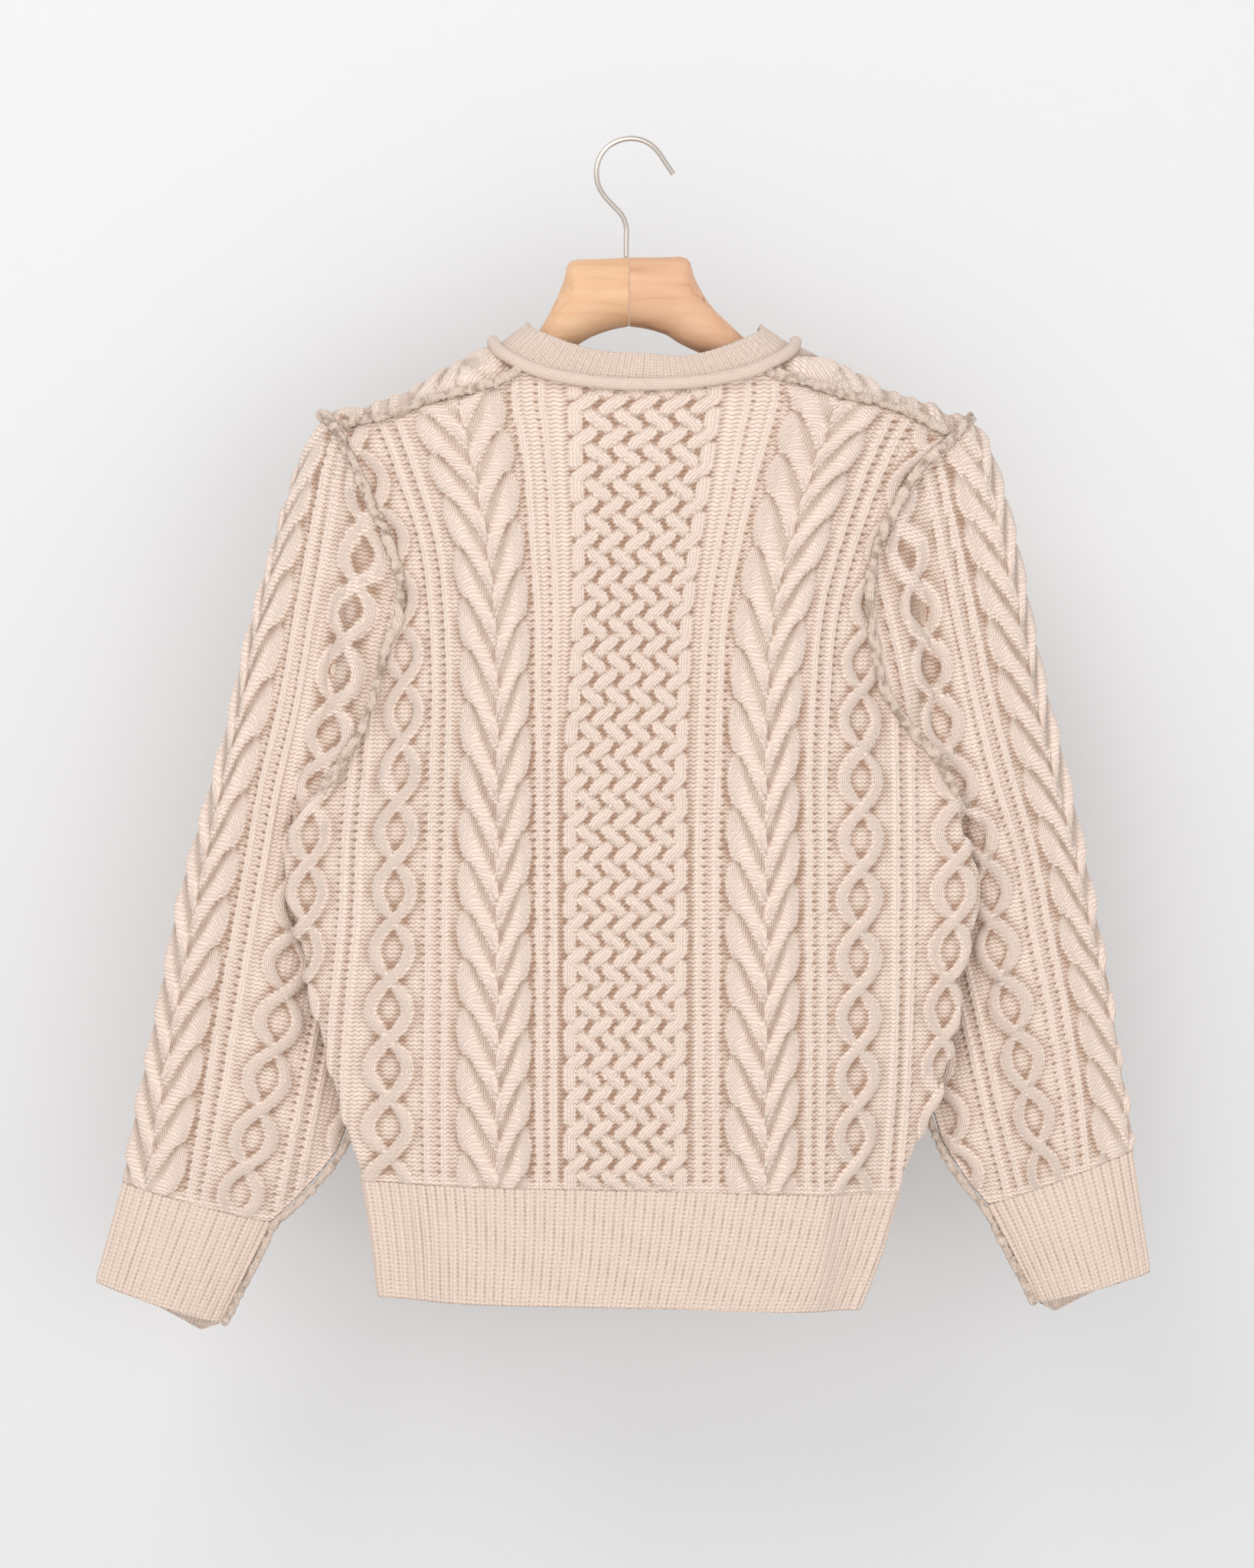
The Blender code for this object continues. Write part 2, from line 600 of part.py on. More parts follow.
def thicken(name, colour):
    """Closed wall on a surface: the outside is the surface, its sewn edges stand back."""
    verts, faces, wall = PIECES[name]
    normals = vertex_normals(name)
    edges = boundary_edges(faces)
    rim = {k for e in edges for k in e}
    pull = np.zeros_like(verts)
    for f in faces:
        middle = np.mean([verts[k] for k in f], axis=0)
        for k in f:
            if k in rim:
                pull[k] += middle - verts[k]
    tangent = np.zeros_like(verts)
    for a, b in edges:
        step = verts[b] - verts[a]
        tangent[a] += step
        tangent[b] += step
    outer = verts.copy()
    for k in rim:
        move = pull[k] - normals[k] * np.dot(pull[k], normals[k])
        gap = SEAM_GAP
        if name == "back_panel" and on_shoulder_seam(verts[k]):
            gap += 0.5
        if name.startswith("sleeve"):
            gap += ARMHOLE_EASE
        if name.startswith("sleeve") or name == "front_panel":
            near = abs(verts[k][2] + 438) < 8 and abs(abs(verts[k][0]) - 205) < 8
            gap += UNDERARM_EASE * near
        outer[k] += gap * move / np.linalg.norm(move)
    inner = outer - normals * wall
    if name.startswith("sleeve"):
        for k in rim:
            if abs(verts[k][2] + 438) < 4:
                inner[k] = outer[k] + np.array([0.0, 0.0, 2.2 * wall])
    n = len(verts)
    solid = list(faces) + [tuple(k + n for k in f[::-1]) for f in faces]
    solid += [(b, a, a + n, b + n) for a, b in edges]
    return add_mesh(name, np.concatenate([outer, inner]), solid, colour)


KNIT = (0.76, 0.61, 0.50)
KNIT_DEEP = (0.70, 0.55, 0.44)
thicken("back_panel", KNIT)
thicken("front_panel", KNIT)
for side in ("left", "right"):
    thicken("sleeve_" + side, (0.75, 0.60, 0.49))
    thicken("cuff_" + side, (0.73, 0.58, 0.47))
thicken("hem_rib", (0.73, 0.58, 0.47))
thicken("neckband", (0.74, 0.59, 0.48))


# ---- cords: rolled edge and raw seam allowances --------------------------------------------
def cord(name, path, lift, radius, sides, colour, closed=False, flat=1.0, lump=0.0, air=CLEAR):
    """Round cord along a path, moved off the cloth by its own radius."""
    path = np.asarray(path, dtype=float)
    lift = np.asarray(lift, dtype=float)
    lift = lift / np.linalg.norm(lift, axis=1)[:, None]
    if closed:
        run = np.roll(path, -1, axis=0) - np.roll(path, 1, axis=0)
    else:
        run = np.gradient(path, axis=0)
    run = run / np.linalg.norm(run, axis=1)[:, None]
    lift = lift - run * np.sum(run * lift, axis=1)[:, None]
    lift = lift / np.linalg.norm(lift, axis=1)[:, None]
    wide = np.cross(run, lift)
    verts = []
    for k, p in enumerate(path):
        r = radius * (1 + lump * math.sin(2.1 * k))
        centre = p + lift[k] * (radius * flat * (1 + lump) + air)
        for j in range(sides):
            turn = 2 * math.pi * j / sides
            verts.append(centre + wide[k] * r * math.cos(turn) + lift[k] * r * flat * math.sin(turn))
    rows = len(path)
    faces = []
    for r in range(rows if closed else rows - 1):
        s = (r + 1) % rows
        for j in range(sides):
            i = (j + 1) % sides
            faces.append((r * sides + j, r * sides + i, s * sides + i, s * sides + j))
    if not closed:
        faces.append(tuple(range(sides - 1, -1, -1)))
        faces.append(tuple((rows - 1) * sides + j for j in range(sides)))
    return add_mesh(name, verts, faces, colour)


def rim_normals(name, indices):
    normals = vertex_normals(name)
    return normals[indices], PIECES[name][0][indices]


# Rolled linking edge, on the foot of the neckband and the edge of the panels
wide_out = np.stack([lower[:, 0] - NECK_X, lower[:, 1] * 2.2, np.full(NECK_N, 0.0)], axis=1)
wide_out /= np.linalg.norm(wide_out, axis=1)[:, None]
tilt = wide_out.copy()
steep = np.abs(lower[:, 1]) / 34.0
tilt[:, 2] = 1.3 * (1 - np.clip(steep, 0, 1)) ** 0.7 + 0.15
cord("neck_roll", lower, tilt, ROLL, 6, (0.76, 0.61, 0.50), closed=True, flat=0.8, air=1.1)

# Shoulder seams, armhole seams, side seams and sleeve seams
sides = {"left": 0, "right": 1}
for side in ("left", "right"):
    stations = np.linspace(0.07, 0.94, 9)
    path = [flap_point(side, c, 0.0) for c in stations]
    nudge = [flap_point(side, c, 0.06) for c in stations]
    run = np.gradient(np.array(path), axis=0)
    up = np.array(nudge) - np.array(path)
    lift = np.cross(run, up)
    lift *= np.where(lift[:, 1] > 0, -1.0, 1.0)[:, None]
    cord("shoulder_seam_" + side, path, lift, RIDGE, 5, KNIT_DEEP, flat=0.9, lump=0.06)

    back0, front0 = armhole(side)
    name = "sleeve_" + side
    count = len(back0) + len(front0) - 2
    normals = vertex_normals(name)
    stop = UNDERARM - 2
    order = [count - k for k in range(stop, 0, -1)] + list(range(0, stop + 2))
    ring0 = PIECES[name][0]
    path = np.array([ring0[k] for k in order])
    lift = np.array([normals[k] for k in order])
    cord("armhole_seam_" + side, path, lift, RIDGE, 5, KNIT_DEEP, flat=0.9, lump=0.05)

    levels = [17.3, 18, 18.6, 19.3, 20, 20.9]
    path = np.array([side_point(side, t) for t in levels])
    lift = np.tile(np.array([0.0, 1.0, 0.0]), (len(levels), 1))
    cord("side_seam_" + side, path, lift, RIDGE * 0.9, 5, KNIT_DEEP, flat=0.8, lump=0.05)

    half = len(back0) - 1
    verts = PIECES[name][0]
    rows = len(verts) // count
    pick = [r * count + half for r in range(3, rows)]
    path = list(verts[pick])
    lift = list(normals[pick])
    cuff = "cuff_" + side
    cuff_verts = PIECES[cuff][0]
    cuff_normals = vertex_normals(cuff)
    for r in (1, 2):
        path.append(cuff_verts[r * count + half])
        lift.append(cuff_normals[r * count + half])
    cord("sleeve_seam_" + side, path, lift, RIDGE, 5, KNIT_DEEP, flat=0.95, lump=0.05, air=0.5)

# ---- hanger ------------------------------------------------------------------------------
WOOD = (0.72, 0.43, 0.22)
ARM_SIDES = 20
for side, sign, arm in (("left", -1.0, ARM_LEFT), ("right", 1.0, ARM_RIGHT)):
    verts = []
    for ux, uz, lx, lz, thick in arm:
        up = np.array([ux - lx, 0.0, uz - lz]) / 2
        centre = np.array([ux + lx, 0.0, uz + lz]) / 2 + np.array([0.15, 0.0, 0.0])
        for j in range(ARM_SIDES):
            turn = 2 * math.pi * j / ARM_SIDES
            c, s = math.cos(turn), math.sin(turn)
            c = math.copysign(abs(c) ** 0.72, c)
            s = math.copysign(abs(s) ** 0.72, s)
            p = centre + up * s + np.array([0.0, thick * c, 0.0])
            verts.append((sign * p[0], p[1], p[2]))
    faces = []
    for r in range(len(arm) - 1):
        for j in range(ARM_SIDES):
            i = (j + 1) % ARM_SIDES
            quad = (r * ARM_SIDES + j, r * ARM_SIDES + i, (r + 1) * ARM_SIDES + i,
                    (r + 1) * ARM_SIDES + j)
            faces.append(quad if sign > 0 else quad[::-1])
    cap = tuple(range(ARM_SIDES))
    end = tuple((len(arm) - 1) * ARM_SIDES + j for j in range(ARM_SIDES))
    faces.append(cap[::-1] if sign > 0 else cap)
    faces.append(end if sign > 0 else end[::-1])
    add_mesh("hanger_arm_" + side, verts, faces, WOOD, 0.45)

curve = bpy.data.curves.new("hanger_hook", "CURVE")
curve.dimensions = "3D"
curve.bevel_depth = WIRE * MM
curve.bevel_resolution = 4
curve.use_fill_caps = True
spline = curve.splines.new("POLY")
steps = np.concatenate([[0.0], np.cumsum(np.hypot(*np.diff(np.array(HOOK), axis=0).T))])
at = np.linspace(0, steps[-1], 44)
hx = smooth(steps, [p[0] for p in HOOK], at)
hz = smooth(steps, [p[1] for p in HOOK], at)
spline.points.add(len(at) - 1)
for k in range(len(at)):
    spline.points[k].co = (hx[k] * MM, 0.0, hz[k] * MM, 1.0)
hook = bpy.data.objects.new("hanger_hook", curve)
bpy.context.scene.collection.objects.link(hook)
curve.materials.append(material("hanger_hook", (0.62, 0.55, 0.47), 0.3, 1.0))
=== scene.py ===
import math

import bpy
import numpy as np
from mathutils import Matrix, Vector


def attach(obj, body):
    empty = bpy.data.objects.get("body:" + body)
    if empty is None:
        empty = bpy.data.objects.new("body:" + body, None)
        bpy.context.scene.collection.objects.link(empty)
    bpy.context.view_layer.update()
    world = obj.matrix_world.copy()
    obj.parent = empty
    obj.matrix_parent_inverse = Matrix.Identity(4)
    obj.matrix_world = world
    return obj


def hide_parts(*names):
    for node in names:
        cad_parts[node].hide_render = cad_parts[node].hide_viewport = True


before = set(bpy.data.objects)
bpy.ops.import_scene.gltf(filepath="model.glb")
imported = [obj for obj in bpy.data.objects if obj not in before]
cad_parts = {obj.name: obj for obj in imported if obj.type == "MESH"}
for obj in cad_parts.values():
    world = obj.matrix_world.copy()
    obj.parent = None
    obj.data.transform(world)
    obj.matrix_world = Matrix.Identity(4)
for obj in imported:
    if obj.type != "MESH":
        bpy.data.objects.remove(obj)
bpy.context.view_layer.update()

bpy.ops.object.select_all(action="DESELECT")

# ---- Camera ---------------------------------------------------------------------------------
# Level with the middle of the garment and straight in front of its back, a little under two
# metres away, with an upright frame.
bpy.ops.object.camera_add(location=(-0.0014, -1.9, -0.4029), rotation=(math.radians(90), 0, 0))
camera = bpy.context.object
camera.name = "camera"
camera.data.sensor_width = 36.0
camera.data.lens = 69.6
camera.data.clip_start = 0.05
bpy.context.scene.camera = camera

# ---- Back panel -----------------------------------------------------------------------------
# Knitted panel in worsted wool: one wide plait up the middle, then on each side a ladder of
# slipped stitches, a wishbone cable, a second ladder and open diamonds, all on a purl ground.
# It is shaped at the shoulders and armholes, and hangs from the hanger's arms in soft folds.
MM = 0.001
CLOTH = 2.6          # thickness of the knit
RELIEF = 1.35        # how much higher the cables stand than their drawn sections
RIDGE_LINE = [
    (-200, -176), (-190, -173), (-174, -169), (-154, -161), (-130, -153), (-106, -140),
    (-83, -129), (-60, -118), (-20, -108), (40, -108), (80, -118), (101, -129),
    (122, -138), (134, -144), (158, -154), (182, -162), (201, -171), (212, -175), (222, -179)]
BACK_TOP = [
    (-181, -183), (-167, -179), (-153, -177), (-138, -173), (-127, -168), (-115, -165),
    (-96, -161), (-79, -156), (-69, -150), (-62, -146.5), (-40, -153), (-18, -156.5),
    (8, -158), (40, -157), (64, -153), (80, -148), (89, -151), (99, -154), (108, -156),
    (121, -161), (132, -164), (156, -168), (170, -173), (179, -177), (191, -183), (201, -187)]
SHOULDER_DEPTH = [(-200, 17), (-181, 21), (-150, 27), (-100, 33), (-60, 34), (80, 34),
                  (120, 33), (170, 26), (201, 19), (215, 16)]
BODY_DEPTH = [(-740, 0.80), (-690, 0.86), (-650, 0.94), (-600, 1.03), (-520, 1.10),
              (-430, 1.12), (-330, 1.08), (-230, 1.02), (-100, 1.0)]
# left edge, right edge, depth of the edge, depth of the front armhole, radius of the side
# fold, and how far the panel wraps behind the fold, from the shoulder down to the hem
LEVEL_COLS = ("xl", "zl", "xr", "zr", "ye", "yf", "roll", "tuck")
LEVELS = [
    (-181, -183, 201, -187, -15, 12.7, 0.01, 0),
    (-170, -206, 181, -206, -20, 17, 0.01, 0),
    (-159, -229, 166, -229, -23, 19.5, 0.01, 0),
    (-149, -252, 155, -252, -24, 20, 0.01, 0),
    (-142, -275, 149, -275, -24, 20, 0.01, 0),
    (-142, -298, 149, -299, -24, 20, 0.01, 0),
    (-151, -321, 152, -322, -23, 19, 0.01, 0),
    (-157, -345, 158, -345, -22, 18, 0.01, 0),
    (-165, -368, 172, -368, -21, 15, 0.5, 0),
    (-181, -395, 194, -395, -19, 12, 0.01, 0),
    (-201, -421, 205, -420, -17, 6, 4, 5),
    (-214, -437, 211, -440, -16, -10, 6, 10),
    (-215, -460, 219, -460, -16, -10, 6, 10),
    (-210, -484, 218, -483, -16, -10, 6, 10),
    (-203, -510, 210, -508, -16, -10, 6, 10),
    (-197, -538, 205, -536, -16, -10, 6, 10),
    (-190, -570, 202, -566, -15, -9, 6, 10),
    (-181, -602, 190, -602, -14, -8, 6, 10),
    (-174, -628, 178, -632, -12, -6, 6, 10),
    (-167, -650, 168, -658, -10, -4, 6, 10),
    (-161, -687, 158, -695, -7, -1, 6, 10),
    (-157, -723, 145, -731, -5, 1, 6, 10)]
UNDERARM = 11
RIB_LINE = 19
# creases: x0 z0 x1 z1, half width, height towards the view
FOLDS = [
    (-171, -285, -175, -348, 7, 8.5),
    (-184, -290, -189, -380, 8, -8.0),
    (168, -262, 175, -345, 7, 8.0),
    (182, -262, 190, -370, 7, -8.0),
    (119, -640, 117, -740, 9, 3.5),
    (-70, -560, -78, -740, 22, 2.5),
    (30, -600, 26, -740, 24, -2.0),
    (196, -470, 204, -535, 6, 3.0),
    (-150, -430, -120, -560, 18, 1.6),
    (140, -440, 118, -600, 20, 1.8),
    (-20, -230, 6, -330, 26, -1.2)]


def smooth(knots, values, at):
    """Cubic curve through a short table, with tangents from its neighbours."""
    knots = np.asarray(knots, dtype=float)
    values = np.asarray(values, dtype=float)
    at = np.clip(np.asarray(at, dtype=float), knots[0], knots[-1])
    slope = np.gradient(values, knots)
    i = np.clip(np.searchsorted(knots, at, side="right") - 1, 0, len(knots) - 2)
    h = knots[i + 1] - knots[i]
    s = (at - knots[i]) / h
    return ((2 * s**3 - 3 * s**2 + 1) * values[i] + (s**3 - 2 * s**2 + s) * h * slope[i]
            + (3 * s**2 - 2 * s**3) * values[i + 1] + (s**3 - s**2) * h * slope[i + 1])


def column(table, k, at):
    """Smooth value of one column of a table at a row number that may lie between two rows."""
    return smooth(range(len(table)), [row[k] for row in table], at)


def line(table, at):
    """Straight-line value from a table of two columns."""
    xs, ys = zip(*table)
    return np.interp(at, xs, ys)


def spread(a, b):
    """Two numbers or arrays, made the same shape."""
    return np.broadcast_arrays(np.asarray(a, dtype=float), np.asarray(b, dtype=float))


def travel(points, axis):
    """Distance along a grid of points from its first row or column."""
    step = np.linalg.norm(np.diff(points, axis=axis), axis=2)
    return np.insert(np.cumsum(step, axis=axis), 0, 0.0, axis=axis)


def from_ends(count):
    """For each of a number of places in a row, how far it is from the nearer end."""
    return np.minimum(np.arange(count), count - 1 - np.arange(count))


def ease(v):
    """0 to 1 with a soft start and end."""
    v = np.clip(v, 0.0, 1.0)
    return v * v * (3 - 2 * v)


def half_depth(x, z):
    """How far the cloth stands from the middle plane, away from its side folds."""
    below = np.clip((line(RIDGE_LINE, x) - z) / 40.0, 0.0, 1.0)
    swell = np.sqrt(1 - (1 - below) ** 2)
    return line(SHOULDER_DEPTH, x) * swell * line(BODY_DEPTH, z)


def folds(x, z):
    """Height of the large creases, towards the view."""
    total = 0.0
    for x0, z0, x1, z1, width, height in FOLDS:
        length = math.hypot(x1 - x0, z1 - z0)
        dx, dz = (x1 - x0) / length, (z1 - z0) / length
        run = (x - x0) * dx + (z - z0) * dz
        across = (x - x0) * dz - (z - z0) * dx
        taper = ease((run + 20) / 40) * ease((length + 20 - run) / 40)
        total = total + height * taper * np.exp(-((across / width) ** 2))
    return total


def level(name, t):
    return column(LEVELS, LEVEL_COLS.index(name), t)


def back_surface(share, t):
    """Back of the body at share 0 to 1 across, from sewn edge to sewn edge, and level t."""
    share, t = spread(share, t)
    roll = np.maximum(level("roll", t), 0.01)
    tuck = np.maximum(level("tuck", t), 0.0)
    xl, xr = level("xl", t), level("xr", t)
    width = xr - xl + 1.14 * roll
    a = -tuck + (width + 2 * tuck) * share
    near = np.where(a < width / 2, a, width - a)
    turn = np.clip(near / roll, -math.pi / 2, math.pi / 2)
    shift = roll * (1 - np.cos(turn)) + np.maximum(0.0, np.abs(near) - math.pi * roll / 2)
    x = np.where(a < width / 2, xl + shift, xr - shift)
    inside = ease((near - math.pi * roll / 2) / 45)
    inside = np.where(t < 1, np.maximum(inside, 1 - t), inside)
    place = (x - xl) / (xr - xl)
    z = level("zl", t) + (level("zr", t) - level("zl", t)) * place
    lift = line(BACK_TOP, -181 + 382 * place) + 183 + 4 * place
    z = z + lift * (1 - ease(t / 6)) * (t < 6)
    y = (level("ye", t) - roll * np.sin(turn)) * (1 - inside) - half_depth(x, z) * inside
    y = y - folds(x, z) * ease(near / 8)
    return np.stack([x, y, z], axis=-1)


# where each column of the pattern runs: height, then x of the diamonds, ladders, wishbones and
# the plait's two edges, from left to right
COLUMN_LINES = [
    (-166, -234, -206, -180, -154, -105, -65, -38, 57, 84, 129, 173, 200, 225, 253),
    (-203, -220, -193, -167, -140, -97, -58, -37, 52, 74, 115, 154, 181, 207, 235),
    (-250, -202, -176, -150, -124, -88, -55, -35, 45, 63, 100, 136, 162, 188, 217),
    (-297, -192, -167, -142, -118, -83, -52, -35, 39, 54, 89, 123, 149, 176, 205),
    (-345, -192, -165, -139, -116, -81, -52, -37, 37, 51, 85, 118, 143, 170, 202),
    (-392, -194, -168, -141, -117, -81, -51, -40, 35, 50, 84, 115, 143, 170, 203),
    (-439, -198, -172, -144, -118, -81, -51, -40, 35, 48, 84, 115, 143, 170, 203),
    (-486, -200, -174, -145, -119, -81, -51, -40, 35, 48, 84, 115, 141, 170, 201),
    (-533, -203, -179, -148, -119, -81, -51, -40, 35, 48, 84, 115, 141, 170, 196),
    (-580, -208, -183, -148, -120, -81, -51, -40, 35, 48, 84, 115, 140, 169, 193),
    (-646, -213, -187, -149, -120, -81, -51, -40, 35, 48, 84, 114, 139, 164, 190)]
# distance of each column's middle line from the middle of the plait, on the flat pattern
PLAIT_EDGE, LADDER_1, WISHBONE, LADDER_2 = 37.7, 49.8, 82.7, 117
DIAMOND_1, LADDER_3, DIAMOND_2 = 143, 171, 200
HALF_PLACES = (PLAIT_EDGE, LADDER_1, WISHBONE, LADDER_2, DIAMOND_1, LADDER_3, DIAMOND_2)
COLUMN_PLACES = tuple(-p for p in HALF_PLACES[::-1]) + HALF_PLACES
# height below the hook at which each of these repeats of the wishbone starts
WISH_DOWN, WISH_TURNS = (172.6, 224.4, 318.6, 449.0, 629.4), (0, 2, 5, 9, 15)
DIAMOND_RISE = 36.7  # height of one diamond beside the second ladder, and in the outer column
OUTER_RISE = 36.3
WALE = 2.5           # width of one column of stitches
ROW = 2.7            # height of one row
PLAIT_PITCH = 7.54   # width of one strand of the plait
PLAIT_STEP = 10.64   # height of one crossing
WISH_HALF = 22.7     # half width of a wishbone
WISH_RISE = 30.9     # height of its repeat
# crevice under each arm of the wishbone: how far in from the edge, how far down
WISH_CREVICE = [(-6, -4.0), (0, 0), (1.9, 1.4), (4.8, 5.8), (6.7, 9.6), (9.0, 14.5),
                (12.0, 20.5), (17.4, 31)]


class Knit:
    """Relief in mm, stitch coordinates and kind of stitch over a grid of points."""

    def __init__(self, place, down, stretch=1.0):
        self.place = place
        self.down = down
        self.stretch = stretch
        self.height = np.full(place.shape, -1.0)
        self.across = place / WALE
        self.rows = down / ROW
        self.ground = (self.across.copy(), self.rows.copy())
        self.kind = np.zeros(place.shape)

    def lay(self, where, height, across, rows, kind=1.0):
        for old, new in ((self.height, height), (self.across, across), (self.rows, rows),
                         (self.kind, np.full(self.place.shape, kind))):
            old[where] = new[where]

    def strand(self, offset, slope, half, top, wales, over=None):
        """Raised rope of stitches; offset is the distance from its middle line."""
        lean = np.sqrt(1 + slope * slope)
        d = offset / lean
        inside = np.abs(d) < half
        round_top = np.sqrt(np.clip(1 - (d / half) ** 2, 0, 1))
        height = top + 2.1 * (round_top - 1)
        if over is not None:
            height = height + over
        where = inside & (height > self.height)
        self.lay(where, height, d / half * wales / 2 + 0.5 * (wales % 2) + 40,
                 self.down / ROW)

    def plait(self, middle, strands, start):
        x = self.place - middle
        v = (self.down - start) / PLAIT_STEP
        k = np.floor(v)
        t = v - k
        s = 0.3 * t + 0.7 * ease(t)
        ds = 0.3 + 0.7 * 6 * t * (1 - t)
        slant = (k % 2) == 0
        lift = 1.25 * np.sin(math.pi * t)
        bed = np.abs(x) < (strands / 2 - 0.3) * PLAIT_PITCH
        self.height[bed] = -0.25
        for i in range(strands):
            odd = i % 2
            edge = i in (0, strands - 1)
            move = np.where(slant, 0.0 if edge else (1.0 if odd else -1.0), -1.0 if odd else 1.0)
            over = np.where(slant & edge, 0.35 * lift, lift if odd else -lift)
            centre = (i - (strands - 1) / 2 + move * s) * PLAIT_PITCH
            slope = move * ds * PLAIT_PITCH / PLAIT_STEP
            self.strand(x - centre, slope, 4.0, 1.4, 2, over)

    def ladder(self, middle, hand, gap=4.8):
        for side in (-gap, gap):
            d = (self.place - middle - side) / self.stretch
            bead = 0.82 + 0.18 * np.cos(2 * math.pi * (self.rows / 2 + 0.5))
            ridge = 0.75 * bead * np.sqrt(np.clip(1 - (d / 2.3) ** 2, 0, 1)) - 0.2
            where = np.abs(d) < 2.0
            self.lay(where, ridge, d / 4.2 + 0.5, self.rows)
            pit = np.exp(-(((d - hand * 2.9) / 1.15) ** 2))
            bar = 0.5 + 0.5 * np.cos(2 * math.pi * self.rows / 2)
            self.height -= np.where(where, 0, 1.5 * pit * bar ** 1.5)
            self.height += np.where(where, 0, 0.5 * pit * (1 - bar))

    def wishbone(self, middle, phase):
        x = self.place - middle
        centre = 1.0 + 0.6 * np.cos(x / WISH_HALF * math.pi / 2)
        for side in (-1, 1):
            d = WISH_HALF + side * x - 5.3
            turn = phase - (0.45 if side < 0 else 0.0)
            drop = np.interp(d, *zip(*WISH_CREVICE))
            s = turn - drop / WISH_RISE
            s = s - np.floor(s)
            own = turn - np.floor(turn)
            inward = ease((d - 2.0) / 6.0)
            tooth = s ** 0.85 * 2.9 - 1.5 - 0.9 * np.clip((s - 0.9) / 0.1, 0, 1) ** 2
            arm = ease((s - 0.30) / 0.48) * (1 - np.clip((s - 0.86) / 0.14, 0, 1) ** 2)
            arm = 2.1 * arm * ease((21.0 - d) / 6.0) - 0.75
            tooth = tooth * (1 - inward) + arm * inward
            scallop = 4.2 * (1 - np.sin(math.pi * np.clip(0.1 + 0.85 * own, 0, 1)))
            edge = np.clip((d + 5.3 - scallop) / 3.2, 0, 1)
            fall = np.sqrt(1 - (1 - edge) ** 2)
            height = (centre + tooth + 1.3) * fall - 1.3
            lean = np.clip(s - 0.35, 0, 1) * WISH_RISE * 0.5 * ease((20 - d) / 8.0)
            across = (x + side * lean) / WALE
            where = (side * x <= 0) & (edge > 0) & (np.abs(x) < WISH_HALF)
            self.lay(where, height, across, self.rows)

    def diamonds(self, middle, turn, reach=10.4, half=3.6):
        x = self.place - middle
        wave = np.sin(math.pi * turn)
        slope = math.pi * np.cos(math.pi * turn) * reach / DIAMOND_RISE
        near = np.abs(turn - np.round(turn))
        lift = 1.2 * np.clip(1 - near / 0.3, 0, 1)
        for side in (-1, 1):
            over = np.where(side * slope < 0, lift, -lift)
            self.strand(x - side * reach * wave, side * slope, half, 1.5, 3, over)


def soften(field, times, wrap=False):
    """Each point becomes the mean of its neighbours, a number of times over."""
    for _ in range(times):
        pad = np.pad(field, ((1, 1), (0, 0)), mode="edge")
        field = (pad[:-2] + pad[1:-1] + pad[2:]) / 3
        pad = np.pad(field, ((0, 0), (1, 1)), mode="wrap" if wrap else "edge")
        field = (pad[:, :-2] + pad[:, 1:-1] + pad[:, 2:]) / 3
    return field


def melt(knit, fade, wrap=False):
    """Lowers the relief at sewn edges, and rounds the steps where a rope passes under another."""
    knit.height = knit.height * (0.25 + 0.75 * fade)
    knit.height = RELIEF * (0.5 * knit.height + 0.5 * soften(knit.height, 1, wrap))


def grid_normals(points, away, wrap=False):
    """Unit normals of a grid of points, on the side that away points to."""
    if wrap:
        wide = np.concatenate([points[:, -1:], points, points[:, :1]], axis=1)
        across = (wide[:, 2:] - wide[:, :-2]) / 2
    else:
        across = np.gradient(points, axis=1)
    normals = np.cross(np.gradient(points, axis=0), across)
    normals /= np.maximum(np.linalg.norm(normals, axis=2), 1e-9)[..., None]
    return normals if np.sum(normals * away) > 0 else -normals


def keep_field(mesh, key, domain, field):
    """Stores one number for each point or face corner, for the material to read."""
    layer = mesh.attributes.new(key, "FLOAT", domain)
    layer.data.foreach_set("value", field.ravel().astype(np.float32))


def place_piece(name, mesh):
    """Smooth-shaded object of a mesh, in the scene."""
    mesh.polygons.foreach_set("use_smooth", np.ones(len(mesh.polygons), dtype=bool))
    piece = bpy.data.objects.new(name, mesh)
    bpy.context.scene.collection.objects.link(piece)
    return piece


